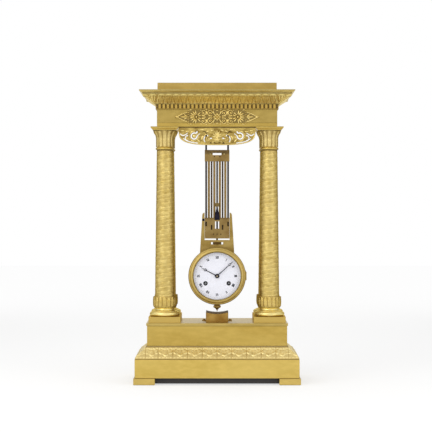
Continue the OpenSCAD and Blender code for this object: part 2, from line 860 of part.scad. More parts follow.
module hanger_rods() {
    top = yoke_head_z + yoke_head_h;
    head = top + hanger_nut_t + hanger_end;
    color(steel) at_hangers(0) {
        translate([0, 0, hanger_foot]) cylinder(d = hanger_d, h = head - hanger_foot);
        translate([0, 0, top]) difference() {
            cylinder(d = hanger_nut_w, h = hanger_nut_t, $fn = 6);
            translate([0, 0, -over]) cylinder(r = hanger_d / 2 + press, h = hanger_nut_t + 2 * over);
        }
    }
}

module at_rods(places, z) {
    for (i = places) translate([i * rod_pitch, 0, z]) children();
}

steel_places = [-2, 0, 2];
brass_places = [-3, -1, 1, 3];
rods_foot = lower_block_top - brass_seat;
steel_foot = lower_block_z + 14;
rods_head = top_bar_z + rod_seat;

top_bar_margin = 2.7;
top_slot_w = 17.4;
top_slot_h = 4.3;
top_slot_drop = 5.9;
pin_hole_d = 2.6;
pin_hole_deep = 1.4;
pin_hole_x = 5.4;
pin_hole_drop = 13.2;

module gridiron_top_bar() {
    top = top_bar_z + top_bar_h;
    color(brass) difference() {
        block(hanger_span + 2 * top_bar_margin, bar_t, top_bar_z, top_bar_h);
        block(top_slot_w, 2 * bar_t, top - top_slot_drop - top_slot_h, top_slot_h);
        at_hangers(top_bar_z - over) cylinder(r = hanger_d / 2 + press, h = top_bar_h + 2 * over);
        at_rods(steel_places, top_bar_z - over) cylinder(r = inner_d / 2 + press, h = rod_seat + over);
        at_rods(brass_places, top_bar_z - over) cylinder(r = brass_d / 2 + press, h = rod_seat + over);
        for (x = [-1, 1]) translate([x * pin_hole_x, pin_hole_deep - bar_t / 2, top - pin_hole_drop])
            rotate([90, 0, 0]) cylinder(d = pin_hole_d, h = bar_t);
    }
}

module gridiron_steel_rods() {
    color(steel) at_rods(steel_places, steel_foot) cylinder(d = inner_d, h = rods_head - steel_foot);
}

module gridiron_brass_rods() {
    color(brass) at_rods(brass_places, rods_foot) cylinder(d = brass_d, h = rods_head - rods_foot);
}

lower_block_t = bar_t - 2;
sight_w = 8;
sight_h = 14.4;
sight_rise = 19.5;
pocket_lap = 0.3;
steel_pocket_h = 9.5;
steel_pocket_rise = 17.5;
hanger_pocket_h = 9;
hanger_pocket_drop = 17;
peg_hole_d = 2.4;
peg_hole_x = 7.3;
peg_hole_deep = 1.4;
peg_hole_rise = 8.6;
index_pin_d = 1.6;
index_pin_l = 1.3;
index_pin_drop = 2.4;

// A pocket in the front of the lower block that lays bare the face of a rod
module rod_pocket(d, z, h) {
    translate([0, -lower_block_t / 2, 0]) block(d - 2 * pocket_lap, lower_block_t, z, h);
}

module gridiron_lower_block() {
    color(brass) difference() {
        block(cheek_gap - 2 * free, lower_block_t, lower_block_z, lower_block_h);
        at_hangers(hanger_foot) cylinder(r = hanger_d / 2 + press, h = lower_block_h);
        at_rods(brass_places, rods_foot) cylinder(r = brass_d / 2 + press, h = lower_block_h);
        at_rods(steel_places, steel_foot) cylinder(r = inner_d / 2 + press, h = lower_block_h);
        block(sight_w, 2 * bar_t, lower_block_z + sight_rise, sight_h);
        at_hangers(0) rod_pocket(hanger_d, lower_block_top - hanger_pocket_drop, hanger_pocket_h);
        at_rods([-2, 2], 0) rod_pocket(inner_d, lower_block_z + steel_pocket_rise, steel_pocket_h);
        for (x = [-1, 0, 1])
            translate([x * peg_hole_x, peg_hole_deep - lower_block_t / 2, lower_block_z + peg_hole_rise])
                rotate([90, 0, 0]) cylinder(d = peg_hole_d, h = bar_t);
        translate([0, 0, lower_block_z - over]) cylinder(r = rating_r + press, h = rating_seat + over);
        translate([0, index_pin_l - lower_block_t / 2, lower_block_top - index_pin_drop]) rotate([90, 0, 0])
            cylinder(d = index_pin_d + 2 * press, h = bar_t);
    }
}

index_h = 21;
// Half widths of the index and their heights above the block, from its tail to its tip
index_outline = [[5.2, -4.6], [4.8, 3], [2.6, 13], [1.3, index_h]];
index_t = 1.4;
index_head_d = 3.2;
index_head_h = 1;
index_gap = 1;
ring_d = 2 * (rod_pitch - brass_d / 2 - free);
ring_h = 7;
ring_knob_d = 5;
ring_knob_l = 6.4;
ring_head_d = 8.6;
ring_head_t = 3.6;

module index_collar() {
    color(brass) translate([0, 0, lower_block_top + index_h + index_gap]) difference() {
        union() {
            cylinder(d = ring_d, h = ring_h);
            translate([0, 0, ring_h / 2]) rotate([90, 0, 0]) {
                cylinder(d = ring_knob_d, h = ring_knob_l);
                translate([0, 0, ring_knob_l - ring_head_t]) cylinder(d = ring_head_d, h = ring_head_t);
            }
        }
        translate([0, 0, -over]) cylinder(r = inner_d / 2 + press, h = ring_h + 2 * over);
    }
}

module expansion_index() {
    left = [for (i = [len(index_outline) - 1:-1:0]) [-index_outline[i][0], index_outline[i][1]]];
    color(blued) translate([0, -lower_block_t / 2, lower_block_top]) rotate([90, 0, 0]) {
        linear_extrude(index_t) polygon(concat(index_outline, left));
        translate([0, -index_pin_drop, index_t]) cylinder(d = index_head_d, h = index_head_h);
        translate([0, -index_pin_drop, -index_pin_l]) cylinder(d = index_pin_d, h = index_pin_l);
    }
}

rating_r = 1.8;
rating_seat = 12;
screw_end = 0.6;

module rating_screw() {
    foot = window_z + screw_end;
    color(steel) translate([0, 0, foot]) cylinder(r = rating_r, h = lower_block_z + rating_seat - foot);
}

nut_shake = 0.25;
window_h = nut_h + 2 * nut_shake;
window_w = 24;
window_rise = 8;
window_z = dial_z + drum_r + window_rise;

module rating_nut() {
    knurls = 28;
    knurl_r = 0.75;
    color(brass) translate([0, 0, window_z + nut_shake]) difference() {
        cylinder(d = nut_d, h = nut_h);
        translate([0, 0, -over]) cylinder(r = rating_r + run, h = nut_h + 2 * over);
        for (i = [0:knurls - 1]) rotate(360 * i / knurls)
            translate([nut_d / 2 + 0.4 * knurl_r, 0, -over]) cylinder(r = knurl_r, h = nut_h + 2 * over);
    }
}

// Clock drum

yoke_t = bar_t + 3;
yoke_splay = 5;
cheek_t = 4.6;
cheek_top = 10;

module drum_yoke() {
    inner = cheek_gap / 2;
    outer = inner + cheek_t;
    top = lower_block_top + cheek_top - yoke_z;
    bar_top = lower_block_z - lift_gap - yoke_z;
    shoulder = arc([inner, top - cheek_t], cheek_t, 0, 90, 8);
    right = concat([[outer + yoke_splay, 0]], shoulder, [[inner, bar_top]]);
    left = [for (i = [len(right) - 1:-1:0]) [-right[i][0], right[i][1]]];
    color(brass) difference() {
        translate([0, yoke_t / 2, yoke_z]) rotate([90, 0, 0])
            linear_extrude(yoke_t) polygon(concat(right, left));
        depth_rod([0, 0], -yoke_t, yoke_t, drum_r + press);
        block(window_w, 2 * yoke_t, window_z, window_h);
        translate([0, 0, window_z - 2 * over]) cylinder(r = rating_r + free, h = yoke_bar_h);
    }
}

hinge_r = 1.9;
pin_r = 0.9;
pin_end = 0.4;
leaf_len = 5.4;
leaf_t = 3;
leaf_in = 3;
bezel_leaf_t = 4.4;
hinge_x = drum_r + hinge_r + 0.5;
bezel_hinge = [hinge_x, bezel_back + hinge_r + free];
cover_hinge = [hinge_x, cover_front - hinge_r - free];

module at_hinge(h, z) {
    translate([h[0], h[1], dial_z + z]) children();
}

// Two outer knuckles of a hinge beside the drum, on lugs that reach in to it
module drum_knuckles(h, toward_middle) {
    root = drum_r - drum_wall / 2;
    for (s = [-1, 1]) difference() {
        union() {
            at_hinge(h, (s - 0.5) * leaf_len) cylinder(r = hinge_r, h = leaf_len);
            translate([root, min(h[1], h[1] + toward_middle * leaf_t), dial_z + (s - 0.5) * leaf_len])
                cube([h[0] - root, leaf_t, leaf_len]);
        }
        at_hinge(h, 0) cylinder(r = pin_r + press, h = 6 * leaf_len, center = true);
        depth_rod([0, 0], -drum_len, drum_len, root);
    }
}

plate_seat = 4;
plate_r = drum_r - drum_wall - plate_seat;
flange_lap = 2;
flange_t = 2.5;
spigot_r = 2;
spigot_end = 1.5;

module drum_case() {
    color(gilt) difference() {
        union() {
            difference() {
                depth_rod([0, 0], drum_front, drum_rear, drum_r);
                depth_rod([0, 0], drum_front - over, drum_rear + over, drum_r - drum_wall);
            }
            difference() {
                depth_rod([0, 0], plate_back, plate_back + flange_t, drum_r - drum_wall / 2);
                depth_rod([0, 0], plate_back - over, plate_back + flange_t + over, plate_r - flange_lap);
            }
            drum_knuckles(bezel_hinge, 1);
            drum_knuckles(cover_hinge, -1);
        }
        translate([0, 0, dial_z - drum_r - over]) cylinder(r = spigot_r + press, h = drum_wall + 2 * over);
    }
}

module hinge_pins() {
    length = 3 * leaf_len + 2 * pin_end;
    color(steel) for (h = [bezel_hinge, cover_hinge])
        at_hinge(h, -length / 2) cylinder(r = pin_r, h = length);
}

// The pointer below the drum: a blunt tip, a bead and a neck let into the drum
module drum_finial() {
    bottom = dial_z - drum_r;
    bead_r = 7.4;
    neck_r = 5.4;
    outline = [[0, 0], [0.5, 0], [1.1, 2.6], [3.6, 5.6], [5, 6.6], [bead_r - 1, 7.2], [bead_r, 8.6],
        [bead_r, 10.8], [bead_r - 1.2, 12], [neck_r, 13], [neck_r, finial_h + over], [0, finial_h + over]];
    color(brass) {
        difference() {
            translate([0, 0, tip_z]) rotate_extrude() polygon(outline);
            depth_rod([0, 0], -bead_r - over, bead_r + over, drum_r + press);
        }
        translate([0, 0, bottom - over]) cylinder(r = spigot_r, h = over + drum_wall + spigot_end);
    }
}

// The middle knuckle and its straight leaf, which starts at a bezel's or cover's face and is t thick
module middle_knuckle(h, face, t) {
    half = leaf_len / 2 - free / 2;
    root = face + t / 2;
    difference() {
        union() {
            at_hinge(h, -half) cylinder(r = hinge_r, h = 2 * half);
            translate([h[0] - hinge_r, min(h[1], root), dial_z - half])
                cube([hinge_r, abs(root - h[1]), 2 * half]);
        }
        at_hinge(h, 0) cylinder(r = pin_r + run, h = 6 * leaf_len, center = true);
    }
    translate([h[0] - leaf_in, min(face, face + t), dial_z - 1.5 * leaf_len])
        cube([leaf_in + hinge_r, abs(t), 3 * leaf_len]);
}

glass_seat = 3.3;
glass_lap = 2;
glass_play = 0.2;

// The bezel is turned: a bead at its edge, a groove, a broad convex band and a bevel in to the glass
module bezel() {
    r = bezel_d / 2;
    s = sight_d / 2;
    rabbet = s + glass_lap;
    outline = [[rabbet, 0], [r - 2.5, 0], [r - 0.5, 0.8], [r, 2.5], [r - 0.3, 4.2], [r - 1.5, 5.4],
        [r - 2.9, 5.6], [r - 3.9, bezel_t - 1.6], [r - 6, bezel_t - 0.2], [s + 2.6, bezel_t],
        [s + 1.2, bezel_t - 0.8], [s, bezel_t - 2.8], [s, glass_seat], [rabbet, glass_seat]];
    color(gilt) {
        at_dial([0, 0], bezel_back) rotate_extrude() polygon(outline);
        middle_knuckle(bezel_hinge, bezel_back, -bezel_leaf_t);
    }
}

module bezel_glass() {
    rim = sight_d / 2 + glass_lap - glass_play;
    r = sight_d / 2 - glass_play;
    sphere_r = (r ^ 2 + glass_rise ^ 2) / (2 * glass_rise);
    steps = 12;
    dome = [for (i = [0:steps]) let (x = r * i / steps)
        [x, glass_seat + glass_rise - sphere_r + sqrt(sphere_r ^ 2 - x ^ 2)]];
    rear = [for (i = [steps:-1:0]) dome[i] - [0, glass_t]];
    color("aliceblue", 0.3) at_dial([0, 0], bezel_back) rotate_extrude()
        polygon(concat(dome, [[rim, glass_seat], [rim, glass_seat - glass_t]], rear));
}

cover_reveal = 1.5;
cover_t = 2.4;
cover_edge = 0.6;
cover_bead_in = 5;
cover_bead_w = 4;
cover_bead_h = 1;
knob_in = 14;
knob_neck_r = 2;
knob_r = 3.6;
knob_h = 7;

// A turned disc with a raised bead, and a knob at the side away from its hinge
module rear_cover() {
    r = drum_r + cover_reveal;
    t = cover_t;
    bead = r - cover_bead_in;
    outline = [[0, 0], [r, 0], [r, t - cover_edge], [r - cover_edge, t], [bead, t],
        [bead - cover_bead_h, t + cover_bead_h], [bead - cover_bead_w + cover_bead_h, t + cover_bead_h],
        [bead - cover_bead_w, t], [0, t]];
    knob = [[0, t / 2], [1.2 * knob_neck_r, t / 2], [knob_neck_r, t + 0.3 * knob_h],
        [knob_r, t + 0.6 * knob_h], [knob_r, t + 0.85 * knob_h], [0.7 * knob_r, t + knob_h], [0, t + knob_h]];
    color(gilt) {
        translate([0, cover_front, dial_z]) rotate([-90, 0, 0]) {
            rotate_extrude() polygon(outline);
            translate([knob_in - r, 0, 0]) rotate_extrude() polygon(knob);
        }
        middle_knuckle(cover_hinge, cover_front, t);
    }
}

// Dial and hands

dial_play = 0.5;
centre_hole_r = 3.5;

module dial() {
    r = drum_r - drum_wall - dial_play;
    color("white") difference() {
        depth_rod(centre_pos, dial_front, dial_back, r);
        depth_rod(centre_pos, dial_front - over, dial_back + over, centre_hole_r);
        for (p = [barrel_pos, strike_pos])
            depth_rod(p, dial_front - over, dial_back + over, winding_hole_d / 2);
    }
}

hand_t = 0.7;
hour_pipe_r = 2.7;
cannon_pipe_r = 1.8;
hand_gap = 1.2;
between_hands = 0.9;
hour_hand_back = dial_front - hand_gap;
minute_hand_back = hour_hand_back - hand_t - between_hands;

// A hand with an open moon near its tip, pointing up
module hand(length, moon_at, moon_r, boss_r, bore) {
    moon_wall = 1;
    moon_offset = 0.35;
    stem_half = 0.6;
    point_half = 0.9;
    tip_half = 0.15;
    from_moon = moon_r - moon_wall / 2;
    stem = [[-1, 0], [1, 0], [stem_half, moon_at - from_moon], [-stem_half, moon_at - from_moon]];
    point = [[-point_half, moon_at + from_moon], [point_half, moon_at + from_moon],
        [tip_half, length], [-tip_half, length]];
    difference() {
        union() {
            cylinder(r = boss_r, h = hand_t);
            linear_extrude(hand_t) polygon(stem);
            translate([0, moon_at, 0]) cylinder(r = moon_r, h = hand_t);
            linear_extrude(hand_t) polygon(point);
        }
        translate([0, 0, -over]) cylinder(r = bore, h = hand_t + 2 * over);
        translate([0, moon_at + moon_offset, -over]) cylinder(r = moon_r - moon_wall, h = hand_t + 2 * over);
    }
}

module minute_hand() {
    color(blued) at_dial(centre_pos, minute_hand_back) rotate(-minute_at)
        hand(minute_len, minute_len - 9.5, 2.3, 3.4, cannon_pipe_r + press);
}

module hour_hand() {
    color(blued) at_dial(centre_pos, hour_hand_back) rotate(-hour_at)
        hand(hour_len, hour_len - 7.5, 2.6, 4.4, hour_pipe_r + press);
}

// Movement

// Wheel with involute flanks, one tooth centred on the direction at. The teeth are thinned for backlash.
module gear(n, m, thick, at = 0) {
    pressure = 20;
    thinned = 0.82;
    r = m * n / 2;
    base = r * cos(pressure);
    tip = r + 0.6 * m;
    root = r - 0.95 * m;
    half = 90 / n * thinned + involute(pressure);
    at_tip = half - involute(acos(base / tip));
    at_root = root > base ? half - involute(acos(base / root)) : half;
    tooth = [[root, -at_root], [tip, -at_tip], [tip, at_tip], [root, at_root]];
    linear_extrude(thick) polygon(ring_of(n, tooth, at));
}

// The [radius, angle] points of one tooth, repeated n times round a circle
function ring_of(n, tooth, at = 0) =
    [for (i = [0:n - 1], p = tooth) polar(p[0], at + 360 * i / n + p[1])];

// Involute of an angle, in degrees
function involute(a) = tan(a) * 180 / PI - a;

// A pinion whose gap faces a wheel in the direction at
module pinion(n, m, thick, at) {
    gear(n, m, thick, at + 180 / n);
}

// Levels of the train between the plates, front to rear
centre_level = plate_back + 1.2;
inter_level = plate_back + 5;
great_level = plate_back + 8.5;
third_level = plate_back + 15;
escape_level = plate_back + 22;
wheel_t = 1.2;
pinion_t = 2.2;
great_t = 2;
barrel_r = 15.5;
barrel_len = 17;
barrel_hub_r = 5;
barrel_rim = 1.5;
barrel_lip = 1.2;
end_shake = 0.2;
// How far a pinion stands forward of its wheel, and the centre arbor forward of the minute hand
pinion_lead = 0.5;
arbor_end = 2.2;

// A wheel, its pinion and their arbor, with a pivot in each plate
module train_arbor(pos, wheel_level, pinion_level) {
    depth_rod(pos, plate_back + end_shake, back_plate_front - end_shake, arbor_r);
    depth_rod(pos, plate_front, back_plate_rear, pivot_r);
    at_dial(pos, wheel_level + wheel_t) children(0);
    at_dial(pos, pinion_level + pinion_t) children(1);
}

module intermediate_wheel() {
    color(brass) train_arbor(inter_pos, inter_level, great_level) {
        gear(inter_n, inter_m, wheel_t, toward(inter_pos, centre_pos));
        pinion(leaf_n, great_m, pinion_t, toward(inter_pos, barrel_pos));
    }
}

module third_wheel() {
    color(brass) train_arbor(third_pos, third_level, centre_level - pinion_lead) {
        gear(third_n, third_m, wheel_t, toward(third_pos, escape_pos));
        pinion(small_n, centre_m, pinion_t, toward(third_pos, centre_pos));
    }
}

module escape_wheel() {
    color(brass) train_arbor(escape_pos, escape_level, third_level - pinion_lead) {
        escape_teeth();
        pinion(small_n, third_m, pinion_t, toward(escape_pos, third_pos));
    }
}

// Raked teeth of the escape wheel
module escape_teeth() {
    step = 360 / escape_n;
    root = escape_r - 1.6;
    linear_extrude(wheel_t) polygon(ring_of(escape_n, [[root, 0], [escape_r, step / 10], [root, step / 2]]));
}

module centre_wheel() {
    color(brass) {
        depth_rod(centre_pos, plate_back + end_shake, back_plate_front - end_shake, 1.5 * arbor_r);
        depth_rod(centre_pos, minute_hand_back - hand_t - arbor_end, back_plate_rear, arbor_r);
        at_dial(centre_pos, centre_level + wheel_t)
            gear(centre_n, centre_m, wheel_t, toward(centre_pos, third_pos));
        at_dial(centre_pos, inter_level + pinion_t - pinion_lead)
            pinion(leaf_n, inter_m, pinion_t, toward(centre_pos, inter_pos));
    }
}

// A barrel with its great wheel at the front, bored for the winding arbor
module barrel(pos, at) {
    rear = great_level + barrel_len;
    difference() {
        union() {
            at_dial(pos, great_level + great_t) gear(great_n, great_m, great_t, at);
            depth_rod(pos, great_level + great_t / 2, rear, barrel_r);
            depth_rod(pos, great_level - great_t / 2, great_level + great_t, barrel_hub_r);
        }
        depth_rod(pos, plate_front, back_plate_rear, winding_r + run);
        depth_rod(pos, rear - barrel_lip, rear + over, barrel_r - barrel_rim);
    }
}

module going_barrel() {
    color(brass) barrel(barrel_pos, toward(barrel_pos, inter_pos));
}

module strike_barrel() {
    color(brass) barrel(strike_pos, 0);
}

// A winding arbor: a square for the key, a ratchet under the dial, and a journal in each plate
module winding_arbor(pos) {
    square_w = 3.3;
    square_root = 2.5;
    square_end = 0.8;
    ratchet_n = 18;
    ratchet_r = 7.5;
    ratchet_t = 1.4;
    tooth = [[ratchet_r - 1, 0], [ratchet_r, 36 / ratchet_n]];
    shoulder = plate_front - square_root;
    depth_rod(pos, shoulder, back_plate_front - end_shake, winding_r);
    depth_rod(pos, shoulder, back_plate_rear, rear_journal_r);
    at_dial(pos, shoulder) translate([-square_w / 2, -square_w / 2, -over])
        cube([square_w, square_w, over + shoulder - dial_front + square_end]);
    at_dial(pos, motion_level) linear_extrude(ratchet_t) polygon(ring_of(ratchet_n, tooth));
}

module going_winding_arbor() {
    color(steel) winding_arbor(barrel_pos);
}

module strike_winding_arbor() {
    color(steel) winding_arbor(strike_pos);
}

// Motion work between the front plate and the dial, which turns the hands
motion_gap = 0.8;
motion_level = plate_front - motion_gap;
hour_level = motion_level - 2 * wheel_t;
cannon_t = 1.8;
minute_pinion_t = 3.2;
minute_wheel_lead = 0.3;
hand_nut_r = 2.6;
hand_nut_h = 1.2;
stud_r = 1;

module cannon_pinion() {
    hand_front = minute_hand_back - hand_t;
    color(steel) difference() {
        union() {
            depth_rod(centre_pos, hand_front - hand_nut_h / 2, motion_level, cannon_pipe_r);
            at_dial(centre_pos, motion_level)
                gear(cannon_n, cannon_m, cannon_t, toward(centre_pos, minute_wheel_pos));
            at_dial(centre_pos, hand_front - press)
                cylinder(r1 = hand_nut_r, r2 = 0.8 * hand_nut_r, h = hand_nut_h);
        }
        depth_rod(centre_pos, hand_front - drum_len, motion_level + over, arbor_r + run);
    }
}

module minute_wheel() {
    mesh = toward(minute_wheel_pos, centre_pos);
    color(brass) difference() {
        union() {
            at_dial(minute_wheel_pos, motion_level - minute_wheel_lead)
                pinion(minute_wheel_n, cannon_m, wheel_t, mesh);
            at_dial(minute_wheel_pos, motion_level - motion_gap)
                gear(minute_pinion_n, hour_m, minute_pinion_t, mesh);
        }
        depth_rod(minute_wheel_pos, plate_front - drum_len, plate_front, stud_r + run);
    }
}

module hour_wheel() {
    color(brass) difference() {
        union() {
            at_dial(centre_pos, hour_level)
                pinion(hour_wheel_n, hour_m, wheel_t, toward(centre_pos, minute_wheel_pos));
            depth_rod(centre_pos, hour_hand_back - hand_t - free, hour_level, hour_pipe_r);
        }
        depth_rod(centre_pos, plate_front - drum_len, plate_front, cannon_pipe_r + run);
    }
}

back_plate_r = plate_r - 2.5;
pillar_at = [35, 145, 250, 290];
pillar_inset = 6.5;
pillar_r = 3;
pillar_ring = back_plate_r - pillar_inset;
dial_foot_at = [30, 150, 270];
dial_foot_ring = 30;
dial_foot_r = 1.6;
stud_end = 2;
rear_journal_r = 1.8;

module pivot_holes(y_front, y_rear) {
    for (p = [inter_pos, third_pos, escape_pos, anchor_pos]) depth_rod(p, y_front, y_rear, pivot_r + run);
}

module movement_front_plate() {
    color(brass) {
        difference() {
            depth_rod(centre_pos, plate_front, plate_back, plate_r);
            pivot_holes(plate_front - over, plate_back + over);
            depth_rod(centre_pos, plate_front - over, plate_back + over, arbor_r + run);
            for (p = [barrel_pos, strike_pos])
                depth_rod(p, plate_front - over, plate_back + over, winding_r + run);
        }
        for (a = dial_foot_at) depth_rod(polar(dial_foot_ring, a), dial_back, plate_front, dial_foot_r);
        depth_rod(minute_wheel_pos, hour_level - stud_end, plate_front, stud_r);
        for (a = pillar_at) depth_rod(polar(pillar_ring, a), plate_back, back_plate_front, pillar_r);
    }
}

module movement_back_plate() {
    color(brass) difference() {
        depth_rod(centre_pos, back_plate_front, back_plate_rear, back_plate_r);
        pivot_holes(back_plate_front - over, back_plate_rear + over);
        depth_rod(centre_pos, back_plate_front - over, back_plate_rear + over, arbor_r + run);
        for (p = [barrel_pos, strike_pos])
            depth_rod(p, back_plate_front - over, back_plate_rear + over, rear_journal_r + run);
        depth_rod(hammer_pos, back_plate_front - over, back_plate_rear + over, pivot_r + run);
    }
}

// Anchor with its two arms over the escape wheel
module anchor() {
    t = 2;
    reach = escape_r * 0.72;
    pallet = reach - anchor_distance;
    arm = [[0, 2.2], [reach + 0.6, -3.4], [reach + 1, pallet + 0.6], [reach, pallet + 1.2],
        [reach - 1, -3.6], [0, -1.6]];
    color(steel) {
        depth_rod(anchor_pos, plate_back + end_shake, back_plate_front - end_shake, arbor_r);
        depth_rod(anchor_pos, plate_front, back_plate_rear, pivot_r);
        at_dial(anchor_pos, escape_level + wheel_t / 2 + t / 2) linear_extrude(t) mirrored() polygon(arm);
    }
}

// Strike: bell on its stand behind the rear plate, and the hammer that rests beside its rim

bell_r = 31;
bell_gap = 4.5;
bell_rim_y = back_plate_rear + bell_gap;
bell_depth = 14;
bell_shell = 1.6;
bell_crown = 10;
stand_r = 2.6;
bell_screw_r = 1.5;
bell_nut_r = 3;
bell_nut_t = 2;
hammer_gap = 0.8;
hammer_head_r = 4.5;
hammer_t = 2;

module bell() {
    crown = [bell_r - bell_crown, bell_depth - bell_crown];
    outer = concat([[0, bell_depth]], arc(crown, bell_crown, 90, 0, 8), [[bell_r, 0]]);
    inner = concat([[bell_r - bell_shell, 0]], arc(crown, bell_crown - bell_shell, 0, 90, 8),
        [[0, bell_depth - bell_shell]]);
    color("silver") at_dial(bell_pos, bell_rim_y) rotate([180, 0, 0]) difference() {
        rotate_extrude() polygon(concat(outer, inner));
        cylinder(r = bell_screw_r + press, h = 3 * bell_depth, center = true);
    }
}

module bell_stand() {
    top = bell_rim_y + bell_depth;
    color(steel) {
        depth_rod(bell_pos, back_plate_rear, top - bell_shell, stand_r);
        depth_rod(bell_pos, top - bell_shell - over, top + bell_nut_t + over, bell_screw_r);
        depth_rod(bell_pos, top, top + bell_nut_t, bell_nut_r);
    }
}

module hammer() {
    head_pos = bell_pos + polar(bell_r + hammer_gap + hammer_head_r, -2);
    length = norm(head_pos - hammer_pos);
    arbor_rear = bell_rim_y + 2.5 * hammer_t;
    color(steel) {
        depth_rod(hammer_pos, back_plate_front, arbor_rear, pivot_r);
        depth_rod(hammer_pos, back_plate_rear + end_shake, arbor_rear, 2 * pivot_r);
        at_dial(hammer_pos, bell_rim_y + 2 * hammer_t) rotate(toward(hammer_pos, head_pos))
            translate([0, -hammer_t / 2, 0]) cube([length, hammer_t, hammer_t]);
        depth_rod(head_pos, bell_rim_y, bell_rim_y + 3 * hammer_t, hammer_head_r);
    }
}

// Beat scale under the pointer

module beat_scale() {
    half = scale_w / 2;
    ear_d = 12;
    spread = asin(half / scale_hollow_r);
    top = arc([0, scale_h + scale_hollow_r], scale_hollow_r, -90 + spread, -90 - spread, 16);
    color(brass) {
        translate([0, scale_d / 2, tile_z]) rotate([90, 0, 0]) linear_extrude(scale_d)
            polygon(concat([[-half, 0], [half, 0]], top));
        difference() {
            block(scale_w + 2 * scale_ear, ear_d, tile_z, ear_t);
            at_scale_screws() cylinder(r = screw_r + press, h = 4 * ear_t, center = true);
        }
    }
}

sole_board();
feet();
base_block();
base_leaf_moulding();
plinth_block();
plinth_slab();
column_bases();
column_collars();
column_shafts();
column_capitals();
tie_rods();
architrave();
frieze_box();
frieze_mount();
dentil_course();
cornice_moulding();
corona();
attic_block();
apron_fretwork();
suspension_cock();
beat_scale();
case_screws();
knife_edge();
suspension_yoke();
hanger_rods();
gridiron_top_bar();
gridiron_steel_rods();
gridiron_brass_rods();
gridiron_lower_block();
index_collar();
expansion_index();
rating_screw();
rating_nut();
drum_yoke();
drum_case();
drum_finial();
hinge_pins();
bezel();
bezel_glass();
rear_cover();
dial();
minute_hand();
cannon_pinion();
hour_hand();
hour_wheel();
minute_wheel();
movement_front_plate();
movement_back_plate();
going_winding_arbor();
strike_winding_arbor();
going_barrel();
strike_barrel();
intermediate_wheel();
centre_wheel();
third_wheel();
escape_wheel();
anchor();
bell();
bell_stand();
hammer();
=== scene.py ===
import math

import bmesh
import bpy
import numpy as np
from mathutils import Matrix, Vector


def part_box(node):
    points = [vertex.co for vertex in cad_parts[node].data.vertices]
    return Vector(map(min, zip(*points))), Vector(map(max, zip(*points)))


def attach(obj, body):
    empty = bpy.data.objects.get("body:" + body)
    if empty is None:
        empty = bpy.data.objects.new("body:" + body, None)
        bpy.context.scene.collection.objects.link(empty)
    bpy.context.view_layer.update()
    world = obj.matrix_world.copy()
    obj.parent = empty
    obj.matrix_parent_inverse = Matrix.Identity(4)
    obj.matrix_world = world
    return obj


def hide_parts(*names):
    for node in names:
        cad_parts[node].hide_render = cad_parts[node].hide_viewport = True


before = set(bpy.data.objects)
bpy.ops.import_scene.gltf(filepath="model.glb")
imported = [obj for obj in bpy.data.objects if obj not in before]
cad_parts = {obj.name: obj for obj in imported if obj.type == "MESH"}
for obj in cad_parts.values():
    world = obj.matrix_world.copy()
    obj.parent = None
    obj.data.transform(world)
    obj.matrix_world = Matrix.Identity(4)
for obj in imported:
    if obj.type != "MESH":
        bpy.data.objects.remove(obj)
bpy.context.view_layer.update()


# Sole board. A plain board of stained pearwood closes the base from below. It is set back
# between the feet, so only a dark line of it shows over the table. Screwed up from under.

MM = 0.001
COLOUR_A, COLOUR_B, COLOUR_RESULT = 6, 7, 2     # sockets of a Mix node that mixes colours


def feed(tree, node, inputs):
    """Wires or sets these inputs of a node."""
    for key, value in inputs.items():
        if isinstance(value, bpy.types.NodeSocket):
            tree.links.new(value, node.inputs[key])
        else:
            node.inputs[key].default_value = value


def put(tree, kind, inputs=None, **settings):
    """Adds one node to a tree, with its settings and inputs."""
    node = tree.nodes.new(kind)
    for key, value in settings.items():
        setattr(node, key, value)
    feed(tree, node, inputs or {})
    return node


def paint(red, green, blue):
    """A colour as the eye reads it, from 0 to 255, in the shader's linear values."""
    channel = [c / 255 for c in (red, green, blue)]
    return [c / 12.92 if c < 0.0405 else ((c + 0.055) / 1.055) ** 2.4 for c in channel] + [1.0]


def open_material(name, rim=None):
    """An empty material with its Principled shader and the piece's own coordinates.
    The rim is the tone that a metal takes where a round surface turns away."""
    material = bpy.data.materials.new(name)
    material.use_nodes = True
    tree = material.node_tree
    shader = tree.nodes["Principled BSDF"]
    if rim:
        shader.inputs["Specular Tint"].default_value = paint(*rim)
    place = tree.nodes.new("ShaderNodeTexCoord").outputs["Object"]
    return material, tree, shader, place


def grain(tree, place, scale, detail=3.0, stretch=(1, 1, 1)):
    """Cloudy noise at this many features a metre, drawn out along an axis where stretch is small."""
    turned = put(tree, "ShaderNodeMapping", {"Vector": place, "Scale": stretch})
    return put(tree, "ShaderNodeTexNoise", {
        "Vector": turned.outputs["Vector"], "Scale": scale, "Detail": detail,
        "Roughness": 0.55}).outputs["Fac"]


def between(tree, factor, low, high, start=0.3, end=0.7):
    """Maps a factor's range from start to end onto the values from low to high."""
    return put(tree, "ShaderNodeMapRange", {
        "Value": factor, "From Min": start, "From Max": end, "To Min": low,
        "To Max": high}).outputs["Result"]


def blend_colour(tree, factor, first, second):
    """Mixes two colours by a factor."""
    return put(tree, "ShaderNodeMix", {"Factor": factor, COLOUR_A: first, COLOUR_B: second},
               data_type="RGBA").outputs[COLOUR_RESULT]


def raised(tree, shader, height, strength, distance):
    """Gives the surface this fine relief, of a depth in millimetres."""
    bump = put(tree, "ShaderNodeBump", {"Height": height, "Strength": strength, "Distance": distance * MM})
    feed(tree, shader, {"Normal": bump.outputs["Normal"]})


def stained_wood():
    """Pearwood stained black and waxed, with its grain along the board."""
    material, tree, shader, place = open_material("stained_pearwood")
    lines = grain(tree, place, 60, 4, (0.12, 1, 1))
    feed(tree, shader, {
        "Base Color": blend_colour(tree, lines, paint(34, 31, 30), paint(66, 61, 58)),
        "Roughness": between(tree, lines, 0.42, 0.58)})
    raised(tree, shader, lines, 0.25, 0.4)
    return material


